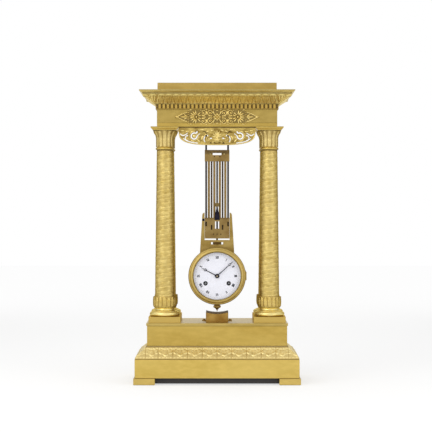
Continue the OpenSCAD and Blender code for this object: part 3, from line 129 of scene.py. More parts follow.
def open_tree(name, inlets):
    """A geometry tree with these named inputs: label, kind and first value."""
    tree = bpy.data.node_groups.new(name, "GeometryNodeTree")
    for label, kind, value in inlets:
        socket = tree.interface.new_socket(label, in_out="INPUT", socket_type="NodeSocket" + kind)
        if value is not None:
            socket.default_value = value
    return tree, tree.nodes.new("NodeGroupInput").outputs


def worked(tree, step, geometry, inputs=None, **settings):
    """One step of work on the geometry in a tree."""
    return put(tree, "GeometryNode" + step, {"Geometry": geometry, **(inputs or {})},
               **settings).outputs["Geometry"]


def close_tree(tree, geometry):
    """Ends a geometry tree with what it made."""
    tree.interface.new_socket("Geometry", in_out="OUTPUT", socket_type="NodeSocketGeometry")
    put(tree, "NodeGroupOutput", {"Geometry": geometry})


def polishing_tree():
    """Welds a CAD skin and shades it smooth up to an edge angle, as a polisher leaves curved faces."""
    tree, size = open_tree("polished", [("Geometry", "Geometry", None), ("Edge Angle", "Float", 0.6)])
    whole = worked(tree, "MergeByDistance", size["Geometry"], {"Distance": 0.002 * MM})
    smooth = worked(tree, "SetShadeSmooth", whole, {"Shade Smooth": True})
    angle = tree.nodes.new("GeometryNodeInputMeshEdgeAngle").outputs["Unsigned Angle"]
    sharp = put(tree, "FunctionNodeCompare", {"A": angle, "B": size["Edge Angle"]},
                operation="GREATER_THAN")
    close_tree(tree, worked(tree, "SetShadeSmooth", smooth, {
        "Selection": sharp.outputs["Result"], "Shade Smooth": False}, domain="EDGE"))
    return tree


POLISHED = polishing_tree()


def finish_cast(node, material, edge=0.0):
    """Gives a CAD node its finish: smooth curves, long edges eased with a file by this many
    millimetres, and its material."""
    flat_within, edge_from, passes = math.radians(0.4), math.radians(34), 2
    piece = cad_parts[node]
    piece.modifiers.new("polished", "NODES").node_group = POLISHED
    if edge:
        flat = piece.modifiers.new("flat_faces", "DECIMATE")
        flat.decimate_type = "DISSOLVE"
        flat.angle_limit = flat_within
        eased = piece.modifiers.new("eased", "BEVEL")
        eased.width = edge * MM
        eased.segments = passes
        eased.limit_method = "ANGLE"
        eased.angle_limit = edge_from
        eased.harden_normals = True
    piece.data.materials.clear()
    piece.data.materials.append(material)


finish_cast("sole_board", stained_wood(), 0.4)


# Feet, base block, plinth block and slab. Plain castings of gilt bronze with broad flat faces,
# stoned flat, matt gilded and lightly burnished. The slab is brighter from more burnishing.

def sum_of(tree, operation, *values):
    """One arithmetic step in a tree."""
    return put(tree, "ShaderNodeMath", dict(enumerate(values)), operation=operation).outputs[0]


def parts_of(tree, place):
    """The three parts of a place in a material: X, Y and Z."""
    return put(tree, "ShaderNodeSeparateXYZ", {0: place}).outputs


def foot_of(node):
    """The height of a CAD node's lowest point, in metres."""
    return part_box(node)[0].z


def top_of(node):
    """The height of a CAD node's highest point, in metres."""
    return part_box(node)[1].z


def dress(tree, shader, place, colour, gloss, darkening=None):
    """Bare metal in this colour and gloss, turned dull and brown where a mask darkens it: painted shade in
    most places.
    """
    metal = 1.0
    if darkening:
        darkness = darkening(tree, place)
        # The brown that the lines and gaps of painted shade, and the other darker bands, blend towards.
        colour = blend_colour(tree, darkness, colour, paint(78, 58, 24))
        gloss = sum_of(tree, "MAXIMUM", gloss, darkness)
        metal = between(tree, darkness, 1, 0.1, 0.2, 0.9)
    feed(tree, shader, {"Base Color": colour, "Roughness": gloss, "Metallic": metal})


def toned(level, below, above, strength, blur=0.3):
    """A darker band about a level in metres, mostly a painted line of shade. The band's lower and upper
    edge, counted from that level, and the blur of both are in millimetres."""
    def mask(tree, place):
        height = parts_of(tree, place)["Z"]
        over = between(tree, height, 0, strength, level + (below - blur) * MM, level + (below + blur) * MM)
        under = between(tree, height, 1, 0, level + (above - blur) * MM, level + (above + blur) * MM)
        return sum_of(tree, "MULTIPLY", over, under)
    return mask


def either(*masks):
    """Darkening wherever any of these masks puts it."""
    def mask(tree, place):
        darkest = masks[0](tree, place)
        for other in masks[1:]:
            darkest = sum_of(tree, "MAXIMUM", darkest, other(tree, place))
        return darkest
    return mask


def shade_in_hollows(tree, place):
    """Painted shade in the hollows of a chased piece, from the attribute that its mesh carries."""
    return put(tree, "ShaderNodeAttribute", attribute_name="hollow").outputs["Fac"]


def gilt(name, light, deep, rough=(0.36, 0.5), matting=0.3, drawn=0.25, patch=16, shade=None,
         where=shade_in_hollows, darkening=None, rim=None):
    """Fire gilding: warm cloudy colour in patches, satin gloss, a matted ground and fine stoning
    marks drawn along it. The shade is a darker colour: painted shade in the hollows, or a darker tone
    where another mask puts it."""
    material, tree, shader, place = open_material(name, rim)
    clouds = grain(tree, place, patch, 3, (0.34, 1, 1))
    spots = grain(tree, place, 130, 4, (0.4, 1, 1))
    colour = blend_colour(tree, between(tree, clouds, 0, 1, 0.32, 0.68), paint(*deep), paint(*light))
    worn = [min(255, c * 1.04 + 4) for c in light]
    colour = blend_colour(tree, between(tree, spots, 0, 0.5, 0.42, 0.72), colour, paint(*worn))
    if shade:
        dark = between(tree, where(tree, place), 0, 0.9, 0.1, 1.0)
        colour = blend_colour(tree, dark, colour, paint(*shade))
    dress(tree, shader, place, colour, between(tree, spots, *rough), darkening)
    ground = sum_of(tree, "MULTIPLY", grain(tree, place, 900, 2), matting)
    marks = grain(tree, place, 420, 2, (0.06, 1, 1))
    raised(tree, shader, sum_of(tree, "MULTIPLY_ADD", marks, drawn, ground), 0.35, 0.5)
    return material


# Painted shadow: dark lines where the base block sits on the feet and where the feet meet the table.
foot_gilding = gilt("foot_gilding", (212, 186, 108), (198, 170, 92), darkening=either(
    toned(top_of("feet"), -0.9, 0, 0.6), toned(foot_of("feet"), -1, 0.9, 0.7)))
base_gilding = gilt("base_gilding", (216, 189, 106), (203, 174, 88))
# Painted shadow: a dark line along the plinth's top, under the slab.
plinth_gilding = gilt("plinth_gilding", (200, 172, 92), (182, 152, 71),
                      darkening=toned(top_of("plinth_block"), -0.9, 0, 0.5))
slab_gilding = gilt("slab_gilding", (192, 168, 98), (172, 147, 80), rough=(0.32, 0.42), matting=0.1)
finish_cast("feet", foot_gilding, 0.8)
finish_cast("base_block", base_gilding, 0.7)
finish_cast("plinth_block", plinth_gilding, 0.6)
finish_cast("plinth_slab", slab_gilding, 0.5)


# Leaf moulding of the base. A mitred ogee of gilt bronze, cast in lengths and chased with a row of
# palmettes over beads, with one more over each mitre. Pinned down on the base block.

scene = bpy.context.scene


def fade(distance, over=1.0):
    """Rises from 0 to 1 over this distance, and stays there."""
    return np.clip(distance / over, 0, 1)


def ridge(distance, width):
    """A rounded ridge of height 1 that falls away to both sides."""
    return np.exp(-(distance / width) ** 2)


def in_mm(node):
    """A CAD node's lowest and highest corners in millimetres."""
    return [np.array(corner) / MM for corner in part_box(node)]


def skin(name, points, hollow=None, front=False):
    """A smooth mesh over a grid of points whose rows are closed, turned so that most of its faces
    look to the front where that is asked for."""
    rows, columns = points.shape[:2]
    index = np.arange(rows * columns).reshape(rows, columns)
    index = np.hstack([index, index[:, :1]])
    corners = [index[:-1, :-1], index[:-1, 1:], index[1:, 1:], index[1:, :-1]]
    corners = np.stack(corners, -1).reshape(-1, 4)
    flat = points.reshape(-1, 3)
    if front:
        a, b, c, d = (flat[corners[:, i]] for i in range(4))
        if np.cross(c - a, d - b)[:, 1].sum() > 0:
            corners = corners[:, ::-1]
    mesh = bpy.data.meshes.new(name)
    mesh.from_pydata(flat.tolist(), [], corners.tolist())
    mesh.polygons.foreach_set("use_smooth", np.ones(len(mesh.polygons), bool))
    # The hollow attribute carries painted shade for the material to lay in.
    if hollow is not None:
        tone = mesh.attributes.new("hollow", "FLOAT", "POINT").data
        tone.foreach_set("value", hollow.astype(np.float32).ravel())
    return mesh


def ogee(low, high, curl, steps):
    """Offsets and heights of an ogee slope between two points, with its ends turned upright."""
    t = np.linspace(0, 1, steps)
    s = (1 - curl) * t + curl * (1 - np.cos(np.pi * t)) / 2
    return low[0] + (high[0] - low[0]) * s, low[1] + (high[1] - low[1]) * t


def slope_normals(offset, height):
    """Outward normals along a slope that is drawn from its foot up."""
    run, rise = np.gradient(offset), np.gradient(height)
    length = np.hypot(run, rise)
    return rise / length, -run / length


def toward_mitre(x, place, offset):
    """Where the station at a place of a corner length lies at each offset: the stations x turn from
    square on at the first to the mitre at the last."""
    return x[0] + (place - x[0]) / (x[-1] - x[0]) * (offset - x[0])


def moulding_length(name, x, profile, relief, depth, mitre=False, edges=0.0):
    """One length of a carved moulding at the stations x: its slope with the relief, and the corners
    before and after it that close it behind. Edges is the painted shade along its two fillets."""
    offset, height, before, after = profile
    out, up = slope_normals(offset, height)
    stations = []
    for place, rise in zip(x, depth * relief):
        slope = np.stack([offset + rise * out, height + rise * up], -1)
        loop_out, loop_up = np.concatenate([before, slope, after]).T
        loop_x = toward_mitre(x, place, loop_out) if mitre else np.full(len(loop_out), place)
        stations.append(np.stack([loop_x, -loop_out, loop_up], -1))
    points = np.array(stations) * MM
    hollow = np.full(points.shape[:2], edges)
    # Painted shade in the hollows of the relief.
    hollow[:, len(before):len(before) + len(offset)] = fade(0.5 - relief, 0.5)
    return skin(name, points, hollow, front=True)


def with_mirror(mesh):
    """Adds a corner's other half, mirrored over the mitre, to its first half."""
    work = bmesh.new()
    work.from_mesh(mesh)
    faces = len(work.faces)
    copied = bmesh.ops.duplicate(work, geom=work.verts[:] + work.edges[:] + work.faces[:])["geom"]
    for vertex in (g for g in copied if isinstance(g, bmesh.types.BMVert)):
        vertex.co.x, vertex.co.y = -vertex.co.y, -vertex.co.x
    work.faces.ensure_lookup_table()
    bmesh.ops.reverse_faces(work, faces=work.faces[faces:])
    bmesh.ops.remove_doubles(work, verts=work.verts[:], dist=0.001 * MM)
    work.to_mesh(mesh)
    work.free()
    return mesh


def stand(mesh, material=None):
    """Stands a mesh in the scene, as a pattern or as a finished piece in its material."""
    if material:
        mesh.materials.append(material)
    piece = bpy.data.objects.new(mesh.name, mesh)
    scene.collection.objects.link(piece)
    return piece


def set_out(name, tree, sizes):
    """Runs a setting-out tree with these sizes, keeps what it makes as one plain piece, and clears
    its patterns away."""
    bench = stand(bpy.data.meshes.new(name))
    step = bench.modifiers.new("set_out", "NODES")
    step.node_group = tree
    sockets = {s.name: s.identifier for s in tree.interface.items_tree if s.in_out == "INPUT"}
    for label, value in sizes.items():
        step[sockets[label]] = value
    made = bpy.data.meshes.new_from_object(bench.evaluated_get(bpy.context.evaluated_depsgraph_get()))
    bench.modifiers.remove(step)
    empty, bench.data = bench.data, made
    patterns = [value.data for value in sizes.values() if isinstance(value, bpy.types.Object)]
    for spent in [empty] + patterns:
        bpy.data.meshes.remove(spent)
    made.name = name
    return bench


def arrow(tree, x=0.0, y=0.0, z=0.0):
    """A vector in a tree, from its three parts."""
    return put(tree, "ShaderNodeCombineXYZ", {"X": x, "Y": y, "Z": z}).outputs[0]


def repeated(tree, points, shape, **placing):
    """A pattern set on every one of these points."""
    pattern = put(tree, "GeometryNodeObjectInfo", {"Object": shape}).outputs["Geometry"]
    return put(tree, "GeometryNodeInstanceOnPoints", {
        "Points": points, "Instance": pattern, **placing}).outputs["Instances"]


def seal(tree, geometry, finish):
    """Ends a setting-out tree: real geometry, joined where the lengths meet, in one material."""
    solid = worked(tree, "RealizeInstances", geometry)
    joined = worked(tree, "MergeByDistance", solid, {"Distance": 0.004 * MM})
    close_tree(tree, worked(tree, "SetMaterial", joined, {"Material": finish}))


def mitred_run_tree():
    """Four sides of a rectangle in lengths of moulding, with a mitred corner piece at each turn."""
    tree, size = open_tree("mitred_run", [
        ("Length", "Object", None), ("Corner", "Object", None), ("Front Count", "Int", 4),
        ("Side Count", "Int", 4), ("Half Width", "Float", 0.1), ("Half Depth", "Float", 0.1),
        ("Foot", "Float", 0.1), ("Pitch", "Float", 0.1), ("Side Pitch", "Float", 0.1),
        ("Finish", "Material", None)])

    def lengths(count, pitch, away, turn, stretch):
        """Two opposite sides, as rows of lengths."""
        start = sum_of(tree, "MULTIPLY", sum_of(tree, "MULTIPLY_ADD", count, -0.5, 0.5), pitch)
        first = arrow(tree, start, sum_of(tree, "MULTIPLY", away, -1))
        line = put(tree, "GeometryNodeMeshLine", {
            "Count": count, "Start Location": first, "Offset": arrow(tree, pitch)})
        row = repeated(tree, line.outputs["Mesh"], size["Length"], Scale=arrow(tree, stretch, 1, 1))
        return [worked(tree, "Transform", row, {"Rotation": (0, 0, a)}) for a in (turn, turn + math.pi)]

    front = lengths(size["Front Count"], size["Pitch"], size["Half Depth"], 0, 1)
    stretch = sum_of(tree, "DIVIDE", size["Side Pitch"], size["Pitch"])
    side = lengths(size["Side Count"], size["Side Pitch"], size["Half Width"], math.pi / 2, stretch)

    quarter = sum_of(tree, "MULTIPLY", tree.nodes.new("GeometryNodeInputIndex").outputs[0], math.pi / 2)
    aim = sum_of(tree, "SUBTRACT", quarter, math.pi / 4)
    reach = [sum_of(tree, "MULTIPLY", sum_of(tree, "MULTIPLY", sum_of(tree, way, aim), half), 2 ** 0.5)
             for way, half in (("COSINE", size["Half Width"]), ("SINE", size["Half Depth"]))]
    spots = put(tree, "GeometryNodePoints", {"Count": 4}).outputs[0]
    placed = worked(tree, "SetPosition", spots, {"Position": arrow(tree, *reach)})
    corner = repeated(tree, placed, size["Corner"], Rotation=arrow(tree, z=quarter))

    both = tree.nodes.new("GeometryNodeJoinGeometry")
    for part in [corner] + side + front:
        tree.links.new(part, both.inputs["Geometry"])
    foot = arrow(tree, z=size["Foot"])
    lifted = worked(tree, "Transform", both.outputs["Geometry"], {"Translation": foot})
    seal(tree, lifted, size["Finish"])
    return tree


MITRED_RUN = mitred_run_tree()


def run_round(name, block, foot, pitch, front, sides, start, length, corner, finish):
    """Sets lengths of moulding out round a block, so many to its front and sides, with mitred
    corners that begin at start, counted from the block's corner."""
    return set_out(name, MITRED_RUN, {
        "Length": stand(length), "Corner": stand(with_mirror(corner)), "Front Count": front,
        "Side Count": sides, "Half Width": block[0] * MM, "Half Depth": block[1] * MM,
        "Foot": foot * MM, "Pitch": pitch * MM, "Side Pitch": 2 * (block[1] + start) / sides * MM,
        "Finish": finish})


def settle(piece, body, slot, *replaced):
    """Mounts a finished piece on its body, in the place of the CAD nodes that it stands for."""
    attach(piece, body)
    if replaced:
        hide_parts(*replaced)


# Painted shade: the carving's hollows and fillets take the shade colour, and dark lines of shade run along
# the band's foot and top.
leaf_gilding = gilt(
    "leaf_gilding", (236, 217, 154), (224, 201, 132), rough=(0.4, 0.54), matting=0.5, shade=(172, 143, 80),
    darkening=either(toned(foot_of("base_leaf_moulding"), -1, 0.9, 0.55),
                 toned(top_of("base_leaf_moulding"), -2, 1, 0.5)))


def base_leaves():
    """One palmette's length and one corner, carved on the ogee and set out round the plinth."""
    low, high = in_mm("base_leaf_moulding")
    plinth = in_mm("plinth_block")[1]
    spread, tall, lip, ease = high[0] - plinth[0], high[2] - low[2], 2.0, 0.5
    pitch, front, sides, corner_leaf, depth, edges = 28.4, 8, 3, 24.0, 1.0, 0.75
    panel, root, fan, bead_row, ground, seam = 28.5, 4.0, 25.5, 26.2, 0.3, 0.9
    offset, height = ogee((spread, lip), (lip + ease, tall - lip - ease), 0.35, 44)
    profile = offset, height, [(spread, 0)], [(lip, tall - lip), (lip, tall), (0, tall), (0, 0)]
    down = np.linspace(panel, 0, len(offset))
    ends = fade(down, 1.2) * fade(panel - down, 0.8)

    def palmette(x, half, line=True):
        """A leaf that fans out from the top of its panel in round lobes, over a row of beads."""
        x = x + np.zeros(len(down))
        spoke, aim = np.hypot(x, down + root), np.arctan2(x, down + root)
        lobe = np.abs(np.cos(5.6 * aim))
        edge = fan + 2.2 * lobe - 0.3 * np.abs(x)
        bulge = 0.4 * ridge(spoke - edge + 3.2, 2.2) * lobe
        arch = 0.3 * ridge(spoke - 13 + 1.5 * lobe, 1.0)
        leaf = fade(edge - spoke, 1.3) * (0.34 + 0.5 * lobe ** 0.7 + bulge - arch)
        bead_x = (x + half) % (half / 2) - half / 4
        bead = 0.75 * np.sqrt(fade(1 - (bead_x / 2.9) ** 2 - ((down - bead_row) / 1.7) ** 2))
        cut = fade(half - np.abs(x), seam) if line else 1
        return np.maximum(np.maximum(leaf, bead), ground) * cut * ends

    x = np.linspace(-pitch / 2, pitch / 2, 41)
    relief = np.array([palmette(place, pitch / 2) for place in x])
    length = moulding_length("leaf_length", x, profile, relief, depth, edges=edges)
    start = front * pitch / 2 - plinth[0]
    edge = start + corner_leaf
    x = np.concatenate([np.linspace(start, edge, 34), np.linspace(edge, spread, 28)[1:]])
    relief = []
    for place in x:
        here = toward_mitre(x, place, offset)
        leaf = palmette(here - start - corner_leaf / 2, corner_leaf / 2)
        tip = palmette(here - offset, pitch / 2, False) * fade(here - edge, seam)
        relief.append(np.where(here < edge, leaf, tip))
    corner = moulding_length("leaf_corner", x, profile, np.array(relief), depth, True, edges)
    return run_round("base_leaf_band", plinth, low[2], pitch, front, sides, start, length, corner,
                     leaf_gilding)


settle(base_leaves(), "case", "gilt_bronze", "base_leaf_moulding")


# Columns. Each stands on a square tile with a turned torus, in a collar of upright leaves. The tapering
# shaft is chased all over in fine spiral rows, and the capital is a bell of palm leaves. A steel rod and
# nuts inside pull the four columns tight between plinth and architrave.

shaft_foot_r, shaft_head_r, abacus_h = 20.0, 16.3, 7.3
round_rim = (198, 168, 106)
# Painted shade: the sunk parts of the chasing on shafts, collars and capitals take the shade colour, and a
# dark line of shade runs round each collar's foot.
column_gilding = gilt(
    "column_gilding", (226, 204, 132), (196, 170, 94), rough=(0.42, 0.54), matting=0.6, drawn=0.1,
    patch=240, shade=(152, 124, 66), rim=round_rim)
collar_gilding = gilt(
    "collar_gilding", (216, 190, 114), (196, 168, 90), rough=(0.34, 0.48), matting=0.5, patch=200,
    shade=(150, 120, 60), darkening=toned(foot_of("column_collars"), -1, 1.3, 0.7), rim=round_rim)
tile_gilding = gilt(
    "tile_gilding", (240, 222, 150), (226, 206, 130), rough=(0.36, 0.46), matting=0.2,
    shade=(192, 161, 82), where=toned(foot_of("column_bases"), -1, 12.4, 1), rim=(228, 206, 150))
abacus_foot = top_of("column_capitals") - abacus_h * MM
# Painted shade: dark lines under the abacus, along its top edge and round the astragal's foot.
abacus_gilding = gilt("abacus_gilding", (214, 187, 103), (198, 169, 86), darkening=either(
    toned(abacus_foot, -1, 0.7, 0.7), toned(abacus_foot, 5.6, 8, 0.45),
    toned(foot_of("column_capitals"), -1, 2.6, 0.6)))
capital_gilding = gilt(
    "capital_gilding", (220, 198, 132), (196, 172, 106), rough=(0.36, 0.5), matting=0.5, patch=200,
    shade=(128, 100, 42), rim=round_rim)
finish_cast("column_bases", tile_gilding, 0.5)
finish_cast("column_capitals", abacus_gilding, 0.4)


def ring_tree():
    """A pattern repeated round an axis, then laid over by a tilt and set in its place."""
    tree, size = open_tree("ring", [
        ("Pattern", "Object", None), ("Count", "Int", 12), ("Tilt", "Vector", None),
        ("Place", "Vector", None), ("Finish", "Material", None)])
    spots = put(tree, "GeometryNodePoints", {"Count": size["Count"]}).outputs[0]
    index = tree.nodes.new("GeometryNodeInputIndex").outputs[0]
    turn = sum_of(tree, "MULTIPLY", sum_of(tree, "DIVIDE", index, size["Count"]), math.tau)
    spun = repeated(tree, spots, size["Pattern"], Rotation=arrow(tree, z=turn))
    laid = worked(tree, "Transform", spun, {"Rotation": size["Tilt"], "Translation": size["Place"]})
    seal(tree, laid, size["Finish"])
    return tree


def four_columns_tree():
    """A pattern set at the four column places."""
    tree, size = open_tree("four_columns", [
        ("Pattern", "Object", None), ("Span X", "Float", 0.2), ("Span Y", "Float", 0.07),
        ("Finish", "Material", None)])
    spots = put(tree, "GeometryNodeMeshGrid", {
        "Size X": size["Span X"], "Size Y": size["Span Y"], "Vertices X": 2, "Vertices Y": 2})
    seal(tree, repeated(tree, spots.outputs["Mesh"], size["Pattern"]), size["Finish"])
    return tree


RING = ring_tree()
FOUR_COLUMNS = four_columns_tree()


def at_four_columns(name, mesh, material):
    """Stands a turned piece on the four column axes, which follow from the box round the shafts."""
    low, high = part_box("column_shafts")
    span = high - low
    foot = 2 * shaft_foot_r * MM
    return set_out(name, FOUR_COLUMNS, {
        "Span X": span.x - foot, "Span Y": span.y - foot, "Pattern": stand(mesh), "Finish": material})


def carved_leaf(across, along, lobes, tip):
    """Height of a chased leaf, from 0 at its edge. Across runs from -1 to 1, along from root 0 to tip 1."""
    t = np.clip(along, 0, 1)
    outline = (0.66 + 0.34 * np.sin(np.pi * t ** 0.8)) * fade(1 - t ** 7) ** tip
    notch = 1 - 0.2 * (1 - np.abs(np.sin(np.pi * lobes * t))) ** 2 * (t < 0.92)
    r = np.abs(across) / np.maximum(outline * notch, 0.02)
    inside = fade(1 - r, 0.16)
    inside = inside * inside * (3 - 2 * inside) * (along >= 0) * (along <= 1)
    veins = np.abs(np.sin(np.pi * (lobes * t - 0.5 * r))) * fade(r)
    rib, groove = ridge(across, 0.09), ridge(np.abs(across) - 0.2, 0.07)
    return inside * (0.5 + 0.22 * (1 - r * r) + 0.3 * veins + 0.3 * rib - 0.16 * groove)


def leaf_ring(name, radius, height, inner, count, relief, depth, stations, finish):
    """A turned ring whose outside is chased with a row of leaves: one wedge of it, repeated round."""
    half = math.pi / count
    out, up = slope_normals(radius, height)
    rows, sunk = [], []
    for angle in np.linspace(-half, half, stations):
        rise = relief(angle / half, np.linspace(0, 1, len(radius)))
        r = np.concatenate([[inner], radius + depth * rise * out, [inner]])
        z = np.concatenate([[height[0]], height + depth * rise * up, [height[-1]]])
        rows.append(np.stack([r * math.sin(angle), -r * math.cos(angle), z], -1))
        # Painted shade where the relief is low.
        sunk.append(np.concatenate([[0], fade(0.5 - rise, 0.5), [0]]))
    wedge = stand(skin(name, np.array(rows) * MM, np.array(sunk), front=True))
    return set_out(name, RING, {"Pattern": wedge, "Count": count, "Finish": finish}).data


def collar():
    """A swelled ring of upright leaves between two fillets."""
    low, high = in_mm("column_collars")
    tall, r, inner, count, depth, bow = high[2] - low[2], 23.6, shaft_foot_r + 0.05, 16, 1.3, 0.72
    t = np.linspace(-bow, bow, 20)
    radius = np.concatenate([
        [r - 2.6, r - 2.2], r - 1.9 + 0.6 * np.cos(2 * t), [r - 1.9, r - 1.6, r - 1.8]])
    height = np.concatenate([
        [0, 1.2], tall / 2 + (tall / 2 - 2.6) * t / bow, [tall - 2, tall - 1, tall]]) + low[2]

    def relief(a, b):
        """A broad leaf on a sunk ground, with a fillet along its foot and its top."""
        broad = carved_leaf(np.full(len(b), a / 0.9), (b - 0.08) / 0.88, 3, 0.3)
        fillets = 0.8 * ridge(b - 0.04, 0.03) + 0.5 * ridge(b - 0.97, 0.03)
        return np.maximum.reduce([broad, fillets, np.full(len(b), 0.12)])

    mesh = leaf_ring("collar_ring", radius, height, inner, count, relief, depth, 15, collar_gilding)
    return at_four_columns("column_collars_chased", mesh, collar_gilding)


def closed(mesh):
    """Joins the seam of a turned skin, closes its open ends and turns its faces outwards."""
    work = bmesh.new()
    work.from_mesh(mesh)
    bmesh.ops.remove_doubles(work, verts=work.verts[:], dist=0.0001 * MM)
    bmesh.ops.holes_fill(work, edges=work.edges[:], sides=0)
    bmesh.ops.recalc_face_normals(work, faces=work.faces[:])
    work.to_mesh(mesh)
    work.free()
    return mesh


def shaft():
    """A tapering shaft with small leaves in spiral rows, each raised a little more or less by hand."""
    low, high = in_mm("column_shafts")
    row, starts, leaves, depth, end, core, seed, draws = 8.6, 2, 9, 0.55, 3, 0.3, 7, 60
    z = np.linspace(low[2], high[2], 300)
    angle = np.linspace(0, math.tau, 80, endpoint=False)
    turn = (z[:, None] - low[2]) / row - starts * angle / math.tau + 4
    lean = leaves * angle / math.tau + 0.5 * np.floor(turn)
    turn = turn + 0.16 * np.abs(np.sin(np.pi * lean))
    along, spiral = turn - np.floor(turn), np.floor(turn)
    uneven = np.random.default_rng(seed).uniform(0.55, 1.0, (draws, leaves))
    lift = uneven[spiral.astype(int) % draws, np.floor(lean).astype(int) % leaves]
    leaf = (0.3 + 0.7 * along ** 0.7) * fade(1 - along, 0.1)
    vein = 0.45 * ridge(along - 0.52, 0.09) * (0.5 + 0.5 * np.cos(5 * angle + 2.4 * spiral))
    ends = fade(z - low[2], end) * fade(high[2] - z, end)
    rise = fade(leaf * lift - vein * lift) * ends[:, None]
    taper = shaft_foot_r + (shaft_head_r - shaft_foot_r) * (z - low[2]) / (high[2] - low[2])
    r = taper[:, None] - depth + depth * rise
    points = np.stack([r * np.cos(angle), r * np.sin(angle), np.repeat(z[:, None], len(angle), 1)], -1)
    points = np.concatenate([points[:1] * [core, core, 1], points, points[-1:] * [core, core, 1]])
    plain = np.zeros((1, len(angle)))
    # Painted shade in the sunk parts of the chasing.
    sunk = np.concatenate([plain, fade(0.75 - rise), plain])
    return at_four_columns("column_shafts_chased", closed(skin("shaft", points * MM, sunk)), column_gilding)


def capital():
    """A bell of tall leaves between the necking ring and the abacus."""
    low, high = in_mm("column_capitals")
    ring, lip_r, inner, count, depth = 6.7, 22.5, shaft_head_r - 2, 12, 1.1
    bell = high[2] - low[2] - ring - abacus_h
    foot, flare = 0.45 * bell, lip_r - shaft_head_r
    sweep = ((bell - foot) ** 2 + flare ** 2) / (2 * flare)
    b = np.linspace(0, 1, 34)
    radius = shaft_head_r + 0.15 + sweep - np.sqrt(sweep ** 2 - np.maximum(b * bell - foot, 0) ** 2)
    height = low[2] + ring + 0.2 + b * (bell - 0.4)

    def relief(a, t):
        """A tall leaf, its tip rolled out under the abacus, with a raised rib and a line in each gap."""
        tall = carved_leaf(np.full(len(t), a / 0.92), t / 0.98, 5, 0.4)
        tall = tall + 0.7 * ridge(t - 0.86, 0.07) * fade(1 - (a / 0.6) ** 2)
        stem = 0.95 * ridge(a, 0.3) * fade(0.8 - t, 0.2)
        gap = ridge(1 - abs(a), 0.3)
        return np.maximum.reduce([tall, stem, np.full(len(t), 0.28)]) * (1 - 0.65 * gap)

    mesh = leaf_ring("capital_ring", radius, height, inner, count, relief, depth, 19, capital_gilding)
    return at_four_columns("capital_leaves", mesh, capital_gilding)


settle(collar(), "case", "gilt_bronze", "column_collars")
settle(shaft(), "case", "gilt_bronze", "column_shafts")
settle(capital(), "case", "gilt_bronze")


def steel(name, light, deep, rough=(0.22, 0.36), rim=None, browned=None):
    """Drawn and polished steel with fine marks along its length, darker where a mask has it browned."""
    material, tree, shader, place = open_material(name, rim)
    marks = grain(tree, place, 500, 3, (1, 1, 0.04))
    colour = blend_colour(tree, grain(tree, place, 40), paint(*deep), paint(*light))
    if browned:
        colour = blend_colour(tree, browned(tree, place), colour, paint(30, 24, 18))
    dress(tree, shader, place, colour, between(tree, marks, *rough))
    raised(tree, shader, marks, 0.2, 0.2)
    return material


browned_gloss = (0.36, 0.48)
rod_steel = steel("rod_steel", (84, 70, 54), (58, 48, 38), browned_gloss, (90, 72, 54))
finish_cast("tie_rods", rod_steel)


# Entablature. Architrave, frieze, dentil course, leaf-carved cornice, corona and attic are separate hollow
# castings, stacked on the tie rods. The attic's top is plain, and all their faces are stoned and gilded.

def deep_in(half_x, half_y, start, end, strength=0.92):
    """Painted shade in what lies behind a block's four upright faces, from start to end in millimetres."""
    def mask(tree, place):
        parts = parts_of(tree, place)
        inward = [sum_of(tree, "SUBTRACT", half, sum_of(tree, "ABSOLUTE", parts[axis]))
                  for axis, half in (("X", half_x), ("Y", half_y))]
        return between(tree, sum_of(tree, "MINIMUM", *inward), 0, strength, start * MM, end * MM)
    return mask


def shade_behind_mount(tree, place):
    """Painted shade on the frieze between the scrolls of the mount."""
    low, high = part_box("frieze_mount")
    middle, end, slope, blur = (low.z + high.z) / 2, high.x - 4 * MM, 0.5, 0.6 * MM
    parts = parts_of(tree, place)
    across = sum_of(tree, "ABSOLUTE", parts["X"])
    rise = sum_of(tree, "ABSOLUTE", sum_of(tree, "SUBTRACT", parts["Z"], middle))
    taper = sum_of(tree, "MULTIPLY", sum_of(tree, "SUBTRACT", end, across), slope)
    limit = sum_of(tree, "MINIMUM", taper, high.z - middle)
    near = between(tree, sum_of(tree, "SUBTRACT", limit, rise), 0, 1, 0, 2 * MM)
    front = between(tree, parts["Y"], 1, 0, high.y - blur, high.y + blur)
    return sum_of(tree, "MULTIPLY", near, front)


dentil_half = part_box("dentil_course")[1]
# Painted shade: a dark line along the architrave's top under the frieze, and a colour set darker than the
# base's for the shade it stands in.
architrave_gilding = gilt("architrave_gilding", (199, 171, 90), (179, 151, 74),
                          darkening=toned(foot_of("frieze_box"), -0.8, 1, 0.35))
frieze_gilding = gilt("frieze_gilding", (184, 160, 91), (167, 142, 74), darkening=shade_behind_mount)
# Painted shade: dark gaps between the dentils and a dark line along the course's foot.
dentil_gilding = gilt("dentil_gilding", (198, 168, 88), (182, 150, 72), darkening=either(
    deep_in(dentil_half.x, dentil_half.y, 0.5, 1.6, 0.78), toned(top_of("frieze_box"), 0.7, 1.8, 0.6, 0.2)))
# Painted shade: dark lines along the corona's top edge and under its lip.
corona_gilding = gilt("corona_gilding", (219, 198, 124), (199, 176, 102), darkening=either(
    toned(top_of("corona"), -1.6, 0, 0.5), toned(foot_of("corona"), -1, 1.5, 0.7)))
# Painted shade: a dark line along the attic's top edge.
attic_gilding = gilt("attic_gilding", (190, 164, 93), (167, 140, 75),
                     darkening=toned(top_of("attic_block"), -0.7, 0, 0.4))
cornice_foot, cornice_top = foot_of("cornice_moulding"), top_of("cornice_moulding")
